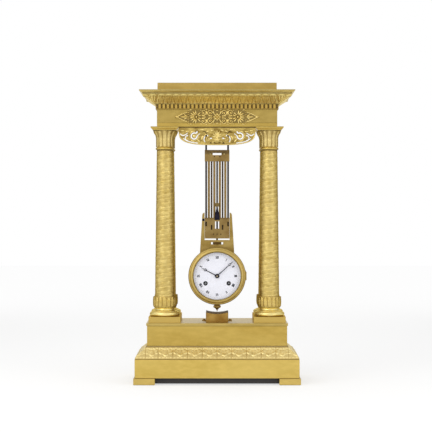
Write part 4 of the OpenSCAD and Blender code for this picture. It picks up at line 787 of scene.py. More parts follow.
# Painted shade: the leaves' hollows take the shade colour, the top roll is laid darker against the light it
# catches, and dark lines of shade run under the corona and along the foot.
cornice_gilding = gilt(
    "cornice_gilding", (244, 222, 142), (230, 204, 120), rough=(0.34, 0.48), matting=0.4,
    shade=(190, 158, 84), darkening=either(
        toned(cornice_top, -6, 0, 0.22, 0.9), toned(cornice_top, -1.4, 1, 0.45),
        toned(cornice_foot, -1, 1.7, 0.45)))
finish_cast("architrave", architrave_gilding, 0.5)
finish_cast("frieze_box", frieze_gilding, 0.4)
finish_cast("dentil_course", dentil_gilding, 0.2)
finish_cast("corona", corona_gilding, 0.3)
finish_cast("attic_block", attic_gilding, 0.6)


def cornice_leaves():
    """One water leaf's length and one corner, carved on the cornice's ogee and set out round the frieze."""
    low, high = in_mm("cornice_moulding")
    frieze = in_mm("frieze_box")[1]
    tall, spread = high[2] - low[2], high[0] - frieze[0]
    foot, lip, pitch, front, sides, depth, behind, edge = 3.5, 1.2, 14.4, 16, 6, 1.2, -4.0, 1.0
    leaf_half, mitre_half, next_leaf = 7.0, 8.0, 9.5
    offset, height = ogee((foot, lip), (spread - edge, tall - lip), 0.25, 40)
    profile = (offset, height, [(behind, 0), (foot - 0.5, 0), (foot - 0.5, lip)],
               [(spread, tall - lip), (spread, tall), (behind, tall)])
    along = np.linspace(0, 1, len(offset))
    ground = np.full(len(along), 0.2)

    def leaf(x, half):
        """A water leaf that widens up to its rolled tip, with veins that fan out from its foot."""
        wide = half * (0.2 + 0.8 * np.sin(0.5 * math.pi * along)) * fade(1 - along, 0.14) ** 0.5
        r = np.abs(x) / np.maximum(wide, 0.05)
        veins = np.abs(np.cos(13 * np.arctan2(np.abs(x), 26 * along + 5)))
        roll = 0.7 * ridge(along - 0.9, 0.06) * fade(1 - r * r)
        return fade(1 - r, 0.2) * (0.45 + 0.35 * veins) + roll

    def dart(gap):
        """The point of a leaf behind, between two leaves."""
        half = 3.2 * fade(1 - along / 0.7)
        return 0.7 * fade(1 - np.abs(gap) / np.maximum(half, 0.05), 0.35)

    x = np.linspace(-pitch / 2, pitch / 2, 25)
    relief = [np.maximum.reduce([leaf(p, leaf_half), dart(abs(p) - pitch / 2), ground]) for p in x]
    length = moulding_length("cornice_length", x, profile, np.array(relief), depth)
    start = front * pitch / 2 - frieze[0]
    x = np.linspace(start, spread - edge, 44)
    reach = np.maximum(offset - start - 15, 3)
    relief = []
    for place in x:
        here = toward_mitre(x, place, offset)
        beside = leaf(here - start - next_leaf, leaf_half)
        at_mitre = carved_leaf((here - offset) / reach, along / 0.98, 5, 0.35)
        at_mitre = at_mitre + leaf(here - offset, mitre_half) * (along > 0.8)
        relief.append(np.maximum.reduce([dart(here - start), beside, at_mitre, ground]))
    corner = moulding_length("cornice_corner", x, profile, np.array(relief), depth, True)
    return run_round("cornice_leaf_band", frieze, low[2], pitch, front, sides, start, length, corner,
                     cornice_gilding)


settle(cornice_leaves(), "case", "gilt_bronze", "cornice_moulding")


# Mount on the frieze. Cast in one openwork piece of gilt bronze: a rosette, pairs of scrolls, sprays of
# leaves and a pointed bud at each end, chased in the round and pinned to the frieze from behind.

def swelled(path, widths, heights, rib=0.0):
    """Points of a chased ribbon or leaf along a path: half round, swelling by its widths and heights."""
    along = np.gradient(path, axis=0)
    across = np.stack([-along[:, 1], along[:, 0]], -1) / np.linalg.norm(along, axis=1)[:, None]
    angle = np.linspace(0, math.pi, 9)
    off = angle - math.pi / 2
    section = 1 + rib * (ridge(off, 0.2) - 0.5 * ridge(np.abs(off) - 0.45, 0.2))
    section = np.sin(angle) ** 0.7 * section
    rows = []
    for p, n, w, h in zip(path, across, widths, heights):
        flat = p + n * (np.cos(angle) * w / 2)[:, None]
        rows.append(np.stack([flat[:, 0], -section * h, flat[:, 1]], -1))
    return np.array(rows)


def leaf_points(foot, angle, length, width, height, bend=0.0):
    """A pointed leaf from its foot, leaning at an angle and bending sideways along its length."""
    steps = 13
    t = np.linspace(0, 1, steps)
    turn = np.radians(angle) + bend * t
    walk = np.stack([np.cos(turn), np.sin(turn)], -1)[:-1] * length / (steps - 1)
    path = np.array(foot) + np.concatenate([[[0, 0]], np.cumsum(walk, 0)])
    swell = np.sin(np.pi * (0.08 + 0.92 * t ** 0.85)) ** 0.75
    return swelled(path, width * np.maximum(swell, 0.06), height * np.maximum(swell, 0.15), rib=0.35)


def scroll_points(centre, outer, inner, start, turn, thick, height):
    """A tapering volute that winds in to its eye."""
    t = np.linspace(0, 1, 40)
    r = outer + (inner - outer) * t
    q = np.radians(start + turn * t)
    path = np.array(centre) + np.stack([r * np.cos(q), r * np.sin(q)], -1)
    return swelled(path, thick * (1 - 0.3 * t), height * (1 - 0.15 * t))


def boss_points(centre, radius, height):
    """A small domed eye, as rings that close at its top."""
    sides, rings, least = 16, 6, 0.02
    angle = np.linspace(0, math.tau, sides, endpoint=False)
    rows = []
    for q in np.linspace(0, math.pi / 2, rings):
        r = max(radius * math.cos(q), least)
        rows.append(np.stack([centre[0] + r * np.cos(angle), np.full(sides, -height * math.sin(q)),
                              centre[1] + r * np.sin(angle)], -1))
    return np.array(rows)


def as_mesh(work, name):
    """Takes the finished mesh from the bench, with its faces turned outwards."""
    bmesh.ops.recalc_face_normals(work, faces=work.faces[:])
    mesh = bpy.data.meshes.new(name)
    work.to_mesh(mesh)
    work.free()
    return mesh


def chased(name, shapes, seat, material):
    """Joins swelled shapes into one piece with its back on a seat (x, y, z), all in millimetres."""
    work = bmesh.new()
    hollow = work.verts.layers.float.new("hollow")
    for rows in shapes:
        top = max(-rows[..., 1].min(), 1e-6)
        rings = [[work.verts.new(tuple((p + seat) * MM)) for p in row] for row in rows]
        for ring, row in zip(rings, rows):
            for vertex, p in zip(ring, row):
                # Painted shade, darkest where each shape meets the ground.
                vertex[hollow] = 0.9 * (1 + p[1] / top) ** 2
        for a, b in zip(rings, rings[1:]):
            for i in range(len(a)):
                j = (i + 1) % len(a)
                work.faces.new((a[i], a[j], b[j], b[i]))
        work.faces.new(rings[0][::-1])
        work.faces.new(rings[-1])
    mesh = as_mesh(work, name)
    mesh.polygons.foreach_set("use_smooth", np.ones(len(mesh.polygons), bool))
    return stand(mesh, material)


LEFT_RIGHT, UP_DOWN = (-1, 1, 1), (1, 1, -1)


def mirrored(shapes, flip):
    """Each shape and its mirror image."""
    return shapes + [shape[:, ::-1] * flip for shape in shapes]


# Painted shade: the dark shade colour lies at the foot of each chased shape, where it meets the ground.
mount_gilding = gilt("mount_gilding", (240, 219, 148), (224, 199, 122), rough=(0.28, 0.4), matting=0.3,
                     shade=(104, 78, 30))


def frieze_mount():
    """The rosette in the middle, then the scrolls, sprays, beads and bud of a quarter, all mirrored."""
    low, high = in_mm("frieze_mount")
    tall, near_eye, far_eye, spray_x, bead_x = high[1] - low[1], (13.2, 8.4), (26.4, 8.8), 40.4, 56.4

    def leaf(foot, lean, length, width, share, bend=0.0):
        """A leaf that is raised by a share of the mount's thickness."""
        return leaf_points(foot, lean, length, width, tall * share, bend)

    def ray(x, lean, away, length, width, share, bend=0.0):
        """A leaf whose foot stands off from a centre on the mount's middle line."""
        tip = math.radians(lean)
        return leaf((x + away * math.cos(tip), away * math.sin(tip)), lean, length, width, share, bend)

    middle = [boss_points((0, 0), 2.3, tall * 1.1)]
    middle += [ray(0, lean, 2.0, 7.0, 3.4, 0.85) for lean in range(0, 360, 45)]
    middle += mirrored([leaf((0, 10.4), 90, 5.0, 3.4, 0.8)], UP_DOWN)
    quarter = [
        scroll_points(near_eye, 6.4, 1.7, -120, 500, 2.2, tall * 0.9),
        boss_points(near_eye, 1.7, tall),
        scroll_points(far_eye, 5.8, 1.6, -60, -470, 2.1, tall * 0.85),
        boss_points(far_eye, 1.6, tall * 0.95),
        leaf((5.2, 4.4), 70, 10.4, 2.8, 0.9, -0.2), leaf((19.9, 3), 84, 11.8, 2.8, 0.9, 0.1),
        leaf((8.6, 1.4), 4, 10.4, 2.4, 0.8, 0.1), leaf((21, 1.4), 4, 11, 2.4, 0.8, 0.1),
        leaf((4, 14.2), -6, 6, 2.2, 0.7), leaf((23.5, 14.8), 180, 6, 2.2, 0.7),
        leaf((33.4, 13.6), 180, 5, 2.2, 0.7), leaf((58.5, 1.2), 30, 9, 2.8, 0.8),
        leaf((54.6, 14.6), 190, 7, 2.4, 0.8)]
    quarter += [ray(spray_x, a, 3.4, 11.8, 3.2, 1, -0.1) for a in (11, 35, 59, 83)]
    quarter += [ray(spray_x, 180 - a, 3, 7 + a / 12, 2.8, 1, 0.15) for a in (24, 52)]
    quarter += [boss_points((bead_x, z), 1.5, tall * 0.9) for z in (4.2, 8.2, 12.2)]
    t = np.linspace(0, 1, 16)
    wing = np.stack([58 + 20 * t, 8.6 * (1 - t ** 1.6)], -1)
    quarter.append(swelled(wing, np.full(len(t), 2.5), np.full(len(t), tall * 0.75)))
    half = mirrored(quarter, UP_DOWN) + [
        leaf((57, 0), 0, 16, 3.6, 0.9), leaf((75.5, 0), 0, 7.4, 4.2, 1),
        boss_points((spray_x, 0), 2.3, tall * 1.15), boss_points((bead_x, 0), 1.6, tall * 0.9)]
    seat = np.array([0, high[1], (low[2] + high[2]) / 2])
    return chased("frieze_mount_chased", middle + mirrored(half, LEFT_RIGHT), seat, mount_gilding)


settle(frieze_mount(), "case", "gilt_bronze", "frieze_mount")


# Apron. A flat pierced plate of gilt bronze that hangs under the architrave, its ground matted with a
# punch. Scrolls, a palmette and a raised rim are chased on its front. Screwed up into the architrave.

def shaded_sunk_ground(tree, place):
    """Painted shade in the places where the apron's ground is sunk or pierced."""
    front, start, end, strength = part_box("apron_fretwork")[0].y, 0.4 * MM, 1.3 * MM, 0.9
    return between(tree, parts_of(tree, place)["Y"], 0, strength, front + start, front + end)


# Painted shade: the sunk ground, and a dark line of shade along the apron's top under the architrave.
apron_gilding = gilt(
    "apron_gilding", (204, 179, 102), (126, 99, 42), rough=(0.36, 0.52), matting=1.8, drawn=0.0, patch=190,
    darkening=either(shaded_sunk_ground, toned(top_of("apron_fretwork"), -2, 1, 0.95)))
finish_cast("apron_fretwork", apron_gilding, 0.25)


def apron_ornament():
    """The rim, the palmette in the middle, and one side's scrolls and leaves with their mirror."""
    low, high = in_mm("apron_fretwork")
    lead, shoulder, inset, bow, rim_w, rim_h, sunk = 2.0, 9.0, 1.0, 2 / 3, 1.7, 1.1, 0.05
    half_w, drop = high[0], high[2] - low[2] - lead
    big_eye, small_eye = (44.7, -16.4), (17.2, -22.0)
    q = np.radians(np.linspace(182, 358, 60))
    rim = np.stack([(half_w - inset) * np.sign(np.cos(q)) * np.abs(np.cos(q)) ** bow,
                    -shoulder - (drop - shoulder - inset) * np.abs(np.sin(q)) ** bow], -1)
    shapes = [swelled(rim, np.full(len(q), rim_w), np.full(len(q), rim_h)),
              boss_points((0, -19.6), 2.2, 1.7)]
    fans = [((0, -19), 90, (-64, -40, -18, 0, 18, 40, 64), 15.5, 16, 2.9, 1.4),
            ((0, -20.5), 270, (-50, -25, 0, 25, 50), 9.5, 30, 2.6, 1.3)]
    for foot, aim, leans, longest, shorten, width, height in fans:
        shapes += [leaf_points(foot, aim + a, longest - abs(a) / shorten, width, height,
                               math.radians(a) * 0.5) for a in leans]
    scrolls = [
        (big_eye, 9.0, 8.4, 100, -300, 2.0, 1.5), ((18.3, -22.2), 9.6, 9.4, 100, -160, 1.8, 1.5),
        (small_eye, 4.6, 2.0, 120, -420, 1.6, 1.4), ((57.5, -20.0), 3.0, 1.0, 120, -400, 1.4, 1.3)]
    eyes = [(big_eye, 3.6, 1.9), (small_eye, 1.7, 1.7), ((66.8, -10.2), 1.6, 1.6)]
    leaves = [
        ((33, -28), 35, 9, 3.4, 1.5, 0.5), ((31, -24), 110, 9, 3.4, 1.5, -0.4),
        ((34, -20), 10, 4.5, 2.2, 1.2), ((52, -8), 170, 9, 3.0, 1.4, 0.3),
        ((54, -7.5), 0, 9, 3.0, 1.4, -0.2), ((64, -6), 10, 8, 2.8, 1.3, -0.5),
        ((24, -3.5), 0, 10, 3.2, 1.4, -0.3), ((37, -4), 180, 6, 2.4, 1.2, 0.3),
        ((13, -6.5), 150, 8, 3.4, 1.5, 0.5), ((15, -5.5), -20, 8, 3.0, 1.4, -0.4),
        ((27, -15), -60, 8, 3.0, 1.4, 0.4), ((52, -24.5), 200, 9, 2.6, 1.2, -0.3),
        ((6, -27), -20, 5, 2.4, 1.2, 0.3), ((48, -27), 190, 8, 2.0, 1.0)]
    half = [scroll_points(*scroll) for scroll in scrolls]
    half += [boss_points(*eye) for eye in eyes] + [leaf_points(*leaf) for leaf in leaves]
    seat = np.array([0, low[1] + sunk, high[2] - lead])
    return chased("apron_relief", shapes + mirrored(half, LEFT_RIGHT), seat, mount_gilding)


settle(apron_ornament(), "case", "gilt_bronze")


# Suspension. A brass cock screwed on the architrave has two cheeks with V notches. A steel knife edge
# rocks in them and carries a yoke, from which the pendulum's two outer rods hang through a slot.

def brass(name, light, deep, rough=(0.28, 0.42), darkening=None):
    """Rolled or turned brass, lacquered, with fine file marks and a little tarnish."""
    material, tree, shader, place = open_material(name)
    darker_share = grain(tree, place, 55, 4)
    colour = blend_colour(tree, between(tree, darker_share, 0, 1), paint(*light), paint(*deep))
    dress(tree, shader, place, colour, between(tree, darker_share, *rough), darkening)
    marks = grain(tree, place, 460, 3, (0.08, 1, 1))
    raised(tree, shader, sum_of(tree, "MULTIPLY", marks, 0.4), 0.3, 0.3)
    return material


bar_brass = brass("bar_brass", (196, 164, 88), (164, 128, 58))
finish_cast("suspension_cock", bar_brass, 0.4)
finish_cast("case_screws", bar_brass)
knife_steel = steel("knife_steel", (150, 150, 152), (104, 104, 108), (0.14, 0.24))
finish_cast("knife_edge", knife_steel)
finish_cast("suspension_yoke", knife_steel, 0.4)


# Gridiron. Two long steel rods, three inner steel rods and four brass rods run between a slotted brass
# top bar and a lower block, so that heat lengthens steel and brass against each other. A blued index on
# the block points at a collar on the middle rod. Slotted screws hold the top bar and the yoke's cheek.

def drawn_brass_rod():
    """Drawn brass rod, pale at its flanks, with painted shade in a dark line along its front and back."""
    material, tree, shader, place = open_material("rod_brass", (206, 182, 138))
    low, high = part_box("gridiron_brass_rods")
    axis, radius, start, end = (low.y + high.y) / 2, (high.y - low.y) / 2, 0.76, 0.94
    depth = sum_of(tree, "ABSOLUTE", sum_of(tree, "SUBTRACT", parts_of(tree, place)["Y"], axis))
    # Painted shade where the rod faces front or back.
    darker_share = between(tree, depth, 0, 1, start * radius, end * radius)
    marks = grain(tree, place, 200, 3, (1, 1, 0.1))
    worn = blend_colour(tree, marks, paint(204, 180, 126), paint(218, 196, 146))
    colour = blend_colour(tree, darker_share, worn, paint(134, 109, 66))
    dress(tree, shader, place, colour, between(tree, grain(tree, place, 60), 0.24, 0.36))
    return material


def middle_rod(tree, place):
    """The middle rod alone, which is browned darker than the other steel rods."""
    inside, outside, strength = 3.5 * MM, 4 * MM, 0.75
    side = sum_of(tree, "ABSOLUTE", parts_of(tree, place)["X"])
    return between(tree, side, strength, 0, inside, outside)


def blued(name):
    """Steel let down to a dark blue over a flame, with the colour running unevenly."""
    material, tree, shader, place = open_material(name)
    run = grain(tree, place, 90)
    colour = blend_colour(tree, between(tree, run, 0, 1), paint(22, 20, 28), paint(44, 40, 54))
    dress(tree, shader, place, colour, between(tree, run, 0.18, 0.3))
    return material


hanger_steel = steel("hanger_steel", (60, 50, 42), (40, 33, 28), browned_gloss, (66, 54, 44))
inner_steel = steel("inner_steel", (84, 70, 54), (58, 48, 38), browned_gloss, (70, 56, 42), middle_rod)
finish_cast("hanger_rods", hanger_steel)
finish_cast("gridiron_steel_rods", inner_steel)
finish_cast("gridiron_brass_rods", drawn_brass_rod())
for bar, band, light in (("gridiron_top_bar", 8.5, (170, 142, 86)),
                         ("gridiron_lower_block", 3, (160, 135, 84))):
    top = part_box(bar)[1]
    # Painted shade in the slots and pin holes behind each bar's front face, and a darker band along its
    # top.
    bar_darkening = either(deep_in(1, top.y, 0.4, 1.2), toned(top.z, -band, 1, 0.5, 1.5))
    finish_cast(bar, brass(bar + "_brass", light, (132, 106, 62), darkening=bar_darkening), 0.4)
finish_cast("index_collar", brass("collar_brass", (136, 116, 74), (104, 86, 50)), 0.3)
finish_cast("rating_screw", rod_steel)
finish_cast("rating_nut", brass("nut_brass", (126, 100, 58), (84, 64, 34)), 0.1)
finish_cast("drum_yoke", brass("yoke_brass", (180, 155, 92), (148, 121, 61)), 0.6)
blued_steel = blued("blued_steel")
finish_cast("expansion_index", blued_steel, 0.15)
TO_FRONT = (math.pi / 2, 0, 0)      # lays a ring over, so that what stood up looks to the front


def slotted_screws(name, count, apart, place, radius, proud, material):
    """Slotted cheese-head screws let into a front face: one, or two that stand apart about a place."""
    slot, deep, rim, ease, sunk_rim = 0.18 * radius, 0.6 * proud, 0.3 * radius, 0.2, 0.08
    q = np.linspace(0, math.tau, 32, endpoint=False)
    profile = [(radius + rim, -0.4), (radius + rim, sunk_rim), (radius, sunk_rim)]
    dark = len(profile)
    profile += [(radius, proud - ease), (radius - ease, proud)]
    profile += [(radius * share, proud) for share in (0.7, 0.45, 0.2, 0.03)]
    rings = []
    for r, up in profile:
        across = r * np.sin(q)
        cut = np.where((np.abs(across) < slot) & (up >= proud - ease), deep, 0)
        rings.append(np.stack([apart / 2 + r * np.cos(q), across, up - cut], -1))
    # Painted shade: the sunk ring round the head takes the shade colour.
    tone = np.repeat([[1.0]] * dark + [[0.0]] * (len(profile) - dark), len(q), 1)
    screw = stand(closed(skin("screw", np.array(rings) * MM, tone)))
    return set_out(name, RING, {
        "Pattern": screw, "Count": count, "Tilt": TO_FRONT, "Place": np.array(place) * MM,
        "Finish": material})


bar_low, bar_high = in_mm("gridiron_top_bar")
cheek_x, cheek_level, bar_drop = -27.2, 317.7, 8.05
cheek_place = (cheek_x, in_mm("drum_yoke")[0][1], cheek_level)
bar_place = (0, bar_low[1], bar_high[2] - bar_drop)
# Painted shade: the shade colour lies in the sunk ring round each screw head.
screw_gilding = gilt("screw_gilding", (226, 208, 150), (206, 184, 118), shade=(64, 50, 28))
settle(slotted_screws("cheek_screw", 1, 0, cheek_place, 2.0, 0.7, blued_steel), "drum", "blued_steel")
settle(slotted_screws("bar_screws", 2, 27.8, bar_place, 1.5, 0.6, screw_gilding), "pendulum", "brass")


# Drum and bezel. The drum is a gilt tube that closes the movement. Its bezel is spun and turned: a beaded
# edge, a broad round band and a bevel in to the domed glass, hinged at the right. A finial points down.

WHITE = (1, 1, 1, 1)


def bezel_shade_lines(tree, place):
    """Painted shade in the bezel's bevel beside the glass and in the bead round its edge."""
    low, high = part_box("bezel")
    outer, axis, sight = (high.z - low.z) / 2, (high.z + low.z) / 2, 46 * MM
    parts = parts_of(tree, place)
    spoke = arrow(tree, parts["X"], sum_of(tree, "SUBTRACT", parts["Z"], axis))
    reach = put(tree, "ShaderNodeVectorMath", {0: spoke}, operation="LENGTH").outputs["Value"]
    inner = between(tree, reach, 0.55, 0, sight + 1.6 * MM, sight + 2.6 * MM)
    edge = between(tree, reach, 0, 0.4, outer - 1.6 * MM, outer - 0.8 * MM)
    return sum_of(tree, "MAXIMUM", inner, edge)


def bare_material(name):
    """A material that has no shader yet."""
    material = bpy.data.materials.new(name)
    material.use_nodes = True
    tree = material.node_tree
    tree.nodes.remove(tree.nodes["Principled BSDF"])
    return material, tree


def shade_with(tree, shader):
    """Gives a bare material this shader."""
    feed(tree, tree.nodes["Material Output"], {"Surface": shader.outputs[0]})


def clear_glass():
    """Thin blown glass, which lets the light through to the dial and shines on its outer side."""
    material, tree = bare_material("domed_glass")
    shiny = put(tree, "ShaderNodeBsdfGlossy", {"Color": WHITE, "Roughness": 0.03})
    clear = put(tree, "ShaderNodeBsdfTransparent", {"Color": (0.985, 0.99, 0.99, 1)})
    inside = tree.nodes.new("ShaderNodeNewGeometry").outputs["Backfacing"]
    gloss = put(tree, "ShaderNodeFresnel", {"IOR": 1.28}).outputs[0]
    gloss = sum_of(tree, "MULTIPLY", gloss, sum_of(tree, "SUBTRACT", 1.0, inside))
    shade_with(tree, put(tree, "ShaderNodeMixShader", {0: gloss, 1: clear.outputs[0], 2: shiny.outputs[0]}))
    return material


drum_gilding = gilt("drum_gilding", (196, 168, 92), (170, 140, 66), rough=(0.3, 0.42), matting=0.15)
bezel_gilding = gilt("bezel_gilding", (198, 174, 106), (178, 153, 88), rough=(0.42, 0.54), matting=0.12,
                     drawn=0.1, darkening=bezel_shade_lines, rim=round_rim)
finial_gilding = gilt("finial_gilding", (214, 186, 116), (190, 160, 92), rough=(0.62, 0.74))
finish_cast("drum_case", drum_gilding, 0.3)
finish_cast("bezel", bezel_gilding)
finish_cast("rear_cover", drum_gilding, 0.3)
finish_cast("drum_finial", finial_gilding)
finish_cast("hinge_pins", knife_steel)
finish_cast("bezel_glass", clear_glass())


# Dial and hands. A copper plate with white enamel fired on it, painted with Roman hours, their heads
# outwards, and a ring of minute dots. A dark eyelet lines each of its two winding holes. The hands are
# cut from steel, pierced with a moon, and blued.

def enamel():
    """White enamel: glassy, slightly cool and faintly uneven from the kiln."""
    material, tree, shader, place = open_material("white_enamel")
    clouds = grain(tree, place, 30)
    feed(tree, shader, {
        "Base Color": blend_colour(tree, clouds, paint(235, 234, 244), paint(241, 239, 247)),
        "Roughness": between(tree, clouds, 0.12, 0.2)})
    raised(tree, shader, clouds, 0.05, 0.4)
    return material


def dial_paint():
    """Black enamel paint for the hours."""
    material, tree, shader, place = open_material("dial_paint")
    feed(tree, shader, {
        "Base Color": blend_colour(tree, grain(tree, place, 700, 2), paint(22, 22, 36), paint(40, 40, 56)),
        "Roughness": 0.35})
    return material


finish_cast("dial", enamel())
dial_black = dial_paint()
dial_low, dial_high = in_mm("dial")
dial_centre = np.array([0, dial_low[1], (dial_low[2] + dial_high[2]) / 2])


def stroke(start, end, thick):
    """One straight stroke of a letter, as four corners."""
    start, end = np.array(start, float), np.array(end, float)
    along = (end - start) / np.linalg.norm(end - start)
    side = np.array([-along[1], along[0]]) * thick / 2
    return [start + side, start - side, end - side, end + side]


def hour_numeral(letters, tall, thick, thin):
    """Strokes of a Roman numeral, centred, with serifs at head and foot."""
    wide, margin, serif, serif_thick = {"I": 1.5, "V": 3.3, "X": 3.3}, 0.45, 0.62, 0.24
    x, head, strokes = -sum(wide[c] for c in letters) / 2, tall / 2, []
    for c in letters:
        mid, left, right = x + wide[c] / 2, x + margin, x + wide[c] - margin
        if c == "I":
            lines = [((mid, -head), (mid, head), thick)]
            ends = [(mid, -head), (mid, head)]
        elif c == "V":
            lines = [((left, head), (mid, -head), thick), ((right, head), (mid, -head), thin)]
            ends = [(left, head), (right, head)]
        else:
            lines = [((left, head), (right, -head), thick), ((left, -head), (right, head), thin)]
            ends = [(left, head), (right, head), (left, -head), (right, -head)]
        lines += [((end - serif, z), (end + serif, z), serif_thick) for end, z in ends]
        strokes += [stroke(*line) for line in lines]
        x += wide[c]
    return strokes


def dial_hours():
    """Twelve numerals in thin raised paint, each stroke a flat closed bar."""
    ring, tall, thick, thin, paint_t, bite = 36.6, 5.0, 1.35, 0.7, 0.06, 0.01
    hours = ["XII", "I", "II", "III", "IIII", "V", "VI", "VII", "VIII", "IX", "X", "XI"]
    work = bmesh.new()
    for hour, letters in enumerate(hours):
        turn = math.radians(30 * hour)
        right = np.array([math.cos(turn), -math.sin(turn)])
        out = np.array([math.sin(turn), math.cos(turn)])
        for corners in hour_numeral(letters, tall, thick, thin):
            flat = [p[0] * right + (p[1] + ring) * out for p in corners]
            rear, face = ([work.verts.new((dial_centre + [x, y, z]) * MM) for x, z in flat]
                          for y in (bite, -paint_t))
            work.faces.new(face)
            work.faces.new(rear[::-1])
            for i in range(4):
                work.faces.new((face[i], rear[i], rear[(i + 1) % 4], face[(i + 1) % 4]))
    return stand(as_mesh(work, "dial_hours"), dial_black)


def minute_dots():
    """Sixty small domes of paint."""
    ring, radius, height, count = 42.2, 0.36, 0.07, 60
    rows = boss_points((0, 0), radius, height)[:3]
    rows = rows[:, ::-1, [0, 2, 1]] * [1, 1, -1] + [0, ring, 0]
    return set_out("minute_dots", RING, {
        "Pattern": stand(closed(skin("dot", rows * MM))), "Count": count, "Tilt": TO_FRONT,
        "Place": dial_centre * MM, "Finish": dial_black})


def winding_eyelets():
    """A dark ring let into each winding hole, with a floor round the arbor."""
    hole_x, drop, hole, arbor, deep, floor = 22.8, 14.4, 3.95, 2.2, 1.3, 1.0
    rim = [(hole + 0.5, 0.05), (hole + 0.35, 0.22), (hole - 0.25, 0.22), (hole - 0.4, 0),
           (hole - 0.4, -floor), (arbor, -floor), (arbor, -deep), (hole - 0.02, -deep),
           (hole - 0.02, -0.02), (hole + 0.5, -0.02)]
    points = [[(hole_x + r * math.cos(q), r * math.sin(q), up) for r, up in rim]
              for q in np.linspace(0, math.tau, 33)]
    eyelet_steel = steel("eyelet_steel", (58, 54, 48), (36, 33, 30))
    return set_out("winding_eyelets", RING, {
        "Pattern": stand(closed(skin("eyelet", np.array(points) * MM))), "Count": 2, "Tilt": TO_FRONT,
        "Place": (dial_centre - [0, 0, drop]) * MM, "Finish": eyelet_steel})


settle(dial_hours(), "drum", "enamel")
settle(winding_eyelets(), "drum", "steel")
settle(minute_dots(), "drum", "enamel")
finish_cast("minute_hand", blued_steel, 0.12)
finish_cast("hour_hand", blued_steel, 0.12)


# Movement. Two round plates on pillars hold the going and striking trains, with wheels of brass and
# arbors of steel. A bell stands behind the rear plate with its hammer beside it.

plate_brass = brass("plate_brass", (206, 178, 104), (182, 150, 80), (0.2, 0.3))
for node in ("movement_front_plate", "movement_back_plate", "going_barrel", "strike_barrel",
             "intermediate_wheel", "centre_wheel", "third_wheel", "escape_wheel", "minute_wheel",
             "hour_wheel"):
    finish_cast(node, plate_brass)
for node in ("cannon_pinion", "going_winding_arbor", "strike_winding_arbor", "anchor", "hammer",
             "bell_stand"):
    finish_cast(node, knife_steel)
finish_cast("bell", steel("bell_metal", (198, 190, 172), (168, 158, 138), (0.18, 0.28)))


# Beat scale. A brass block on the slab under the pointer, its top hollowed to the pendulum's swing.
# Two screws through its ears hold it down.

def scale_top(tree, place):
    """Darker on the hollowed top and down the block's corners."""
    hollow_r, middle, half = 80 * MM, 133 * MM, 22 * MM
    parts = parts_of(tree, place)
    bow = sum_of(tree, "MULTIPLY", parts["X"], parts["X"])
    edge = sum_of(tree, "MULTIPLY_ADD", bow, 0.5 / hollow_r, middle)
    top = between(tree, sum_of(tree, "SUBTRACT", parts["Z"], edge), 0, 0.7, -0.3 * MM, -0.1 * MM)
    side = sum_of(tree, "ABSOLUTE", parts["X"])
    corner = between(tree, side, 0, 0.5, half - 1.2 * MM, half - 0.6 * MM)
    block = between(tree, side, 1, 0, half + 0.1 * MM, half + 0.3 * MM)
    return sum_of(tree, "MAXIMUM", top, sum_of(tree, "MULTIPLY", corner, block))


scale_brass = brass("scale_brass", (184, 150, 82), (150, 114, 54), (0.34, 0.48), scale_top)
finish_cast("beat_scale", scale_brass, 0.3)


# Studio. A pale floor and a white background, as in a catalogue, with soft light from the left and a
# weaker fill from the right. Grey cards stand at the sides for the gilding to reflect.

def studio_sheet(name, corners, material):
    """A flat sheet of the studio, which isn't part of the clock."""
    mesh = bpy.data.meshes.new(name)
    mesh.from_pydata(corners, [], [(0, 1, 2, 3)])
    sheet = stand(mesh, material)
    return sheet


def looked_at(tree):
    """The rays that show a thing to the camera, straight or in metal and glass."""
    ray = tree.nodes.new("ShaderNodeLightPath").outputs
    direct = sum_of(tree, "MAXIMUM", ray["Is Camera Ray"], ray["Is Glossy Ray"])
    return sum_of(tree, "MAXIMUM", direct, ray["Is Transmission Ray"])


def floor_paper():
    """Pale paper that looks white to the camera, apart from the soft shadow on it."""
    material, tree = bare_material("floor_paper")
    paper = put(tree, "ShaderNodeBsdfDiffuse", {"Color": (0.86, 0.86, 0.86, 1)})
    white = put(tree, "ShaderNodeEmission", {"Color": WHITE, "Strength": 1.1})
    share = sum_of(tree, "MULTIPLY", looked_at(tree), 0.5)
    shade_with(tree, put(tree, "ShaderNodeMixShader", {0: share, 1: paper.outputs[0], 2: white.outputs[0]}))
    return material


def grey_card(name, level):
    """Card of one even grey for the metal to reflect."""
    material, tree = bare_material(name)
    grey = (level, level, level * 0.98, 1)
    shade_with(tree, put(tree, "ShaderNodeEmission", {"Color": grey, "Strength": 1.0}))
    return material


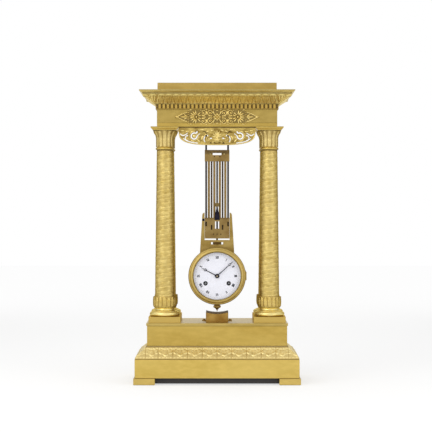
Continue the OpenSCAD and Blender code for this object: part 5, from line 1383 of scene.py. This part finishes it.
def soft_box(name, place, wide, tall, watts):
    """A soft lamp that looks at the clock's middle."""
    middle = Vector((0, 0, 0.3))
    lamp = bpy.data.lights.new(name, "AREA")
    lamp.shape = "RECTANGLE"
    lamp.size, lamp.size_y, lamp.energy = wide, tall, watts
    holder = bpy.data.objects.new(name, lamp)
    scene.collection.objects.link(holder)
    holder.location = place
    holder.rotation_euler = (middle - Vector(place)).to_track_quat("-Z", "Y").to_euler()


floor_half, card_x, card_top = 6, 1.1, 1.3
card_front, card_back, flag_back = -0.9, 0.4, 1.8
floor_corners = [(x * floor_half, y * floor_half, 0) for x, y in ((-1, -1), (1, -1), (1, 1), (-1, 1))]
studio_sheet("floor", floor_corners, floor_paper())
for name, x, near, far, level in (("left_card", -card_x, card_front, card_back, 0.9),
                                  ("right_card", card_x, card_front, card_back, 0.8),
                                  ("left_flag", -card_x, card_back, flag_back, 0.4),
                                  ("right_flag", card_x, card_back, flag_back, 0.42)):
    card = studio_sheet(name, [(x, near, 0), (x, far, 0), (x, far, card_top), (x, near, card_top)],
                        grey_card(name, level))
    card.visible_camera = False
    card.visible_shadow = False

scene.world = bpy.data.worlds.new("studio")
scene.world.use_nodes = True
sky = scene.world.node_tree
sky.nodes.clear()
room_light, background = 1.0, 1.0
lit, seen = (put(sky, "ShaderNodeBackground", {"Color": WHITE, "Strength": level}).outputs[0]
             for level in (room_light, background))
mix = put(sky, "ShaderNodeMixShader", {0: looked_at(sky), 1: lit, 2: seen})
put(sky, "ShaderNodeOutputWorld", {"Surface": mix.outputs[0]})
soft_box("key_light", (-1.5, -1.7, 1.5), 1.9, 1.9, 18)
soft_box("fill_light", (1.8, -1.5, 0.9), 0.8, 1.0, 6)


# Camera. Straight on, 3 m from the clock and a little above its middle, with a long lens. Its lens
# and its shift are given in the photograph's pixels.

picture, lens, shift_x, shift_y = 432, 1510, -1.1, -7.4
distance, eye_level = 3.0, 0.34
camera = bpy.data.objects.new("camera", bpy.data.cameras.new("camera"))
scene.collection.objects.link(camera)
camera.location = (0, -distance, eye_level)
camera.rotation_euler = (math.pi / 2, 0, 0)
camera.data.sensor_width = 36
camera.data.lens = camera.data.sensor_width * lens / picture
camera.data.shift_x = shift_x / picture
camera.data.shift_y = shift_y / picture
scene.camera = camera
scene.view_settings.view_transform = "Standard"
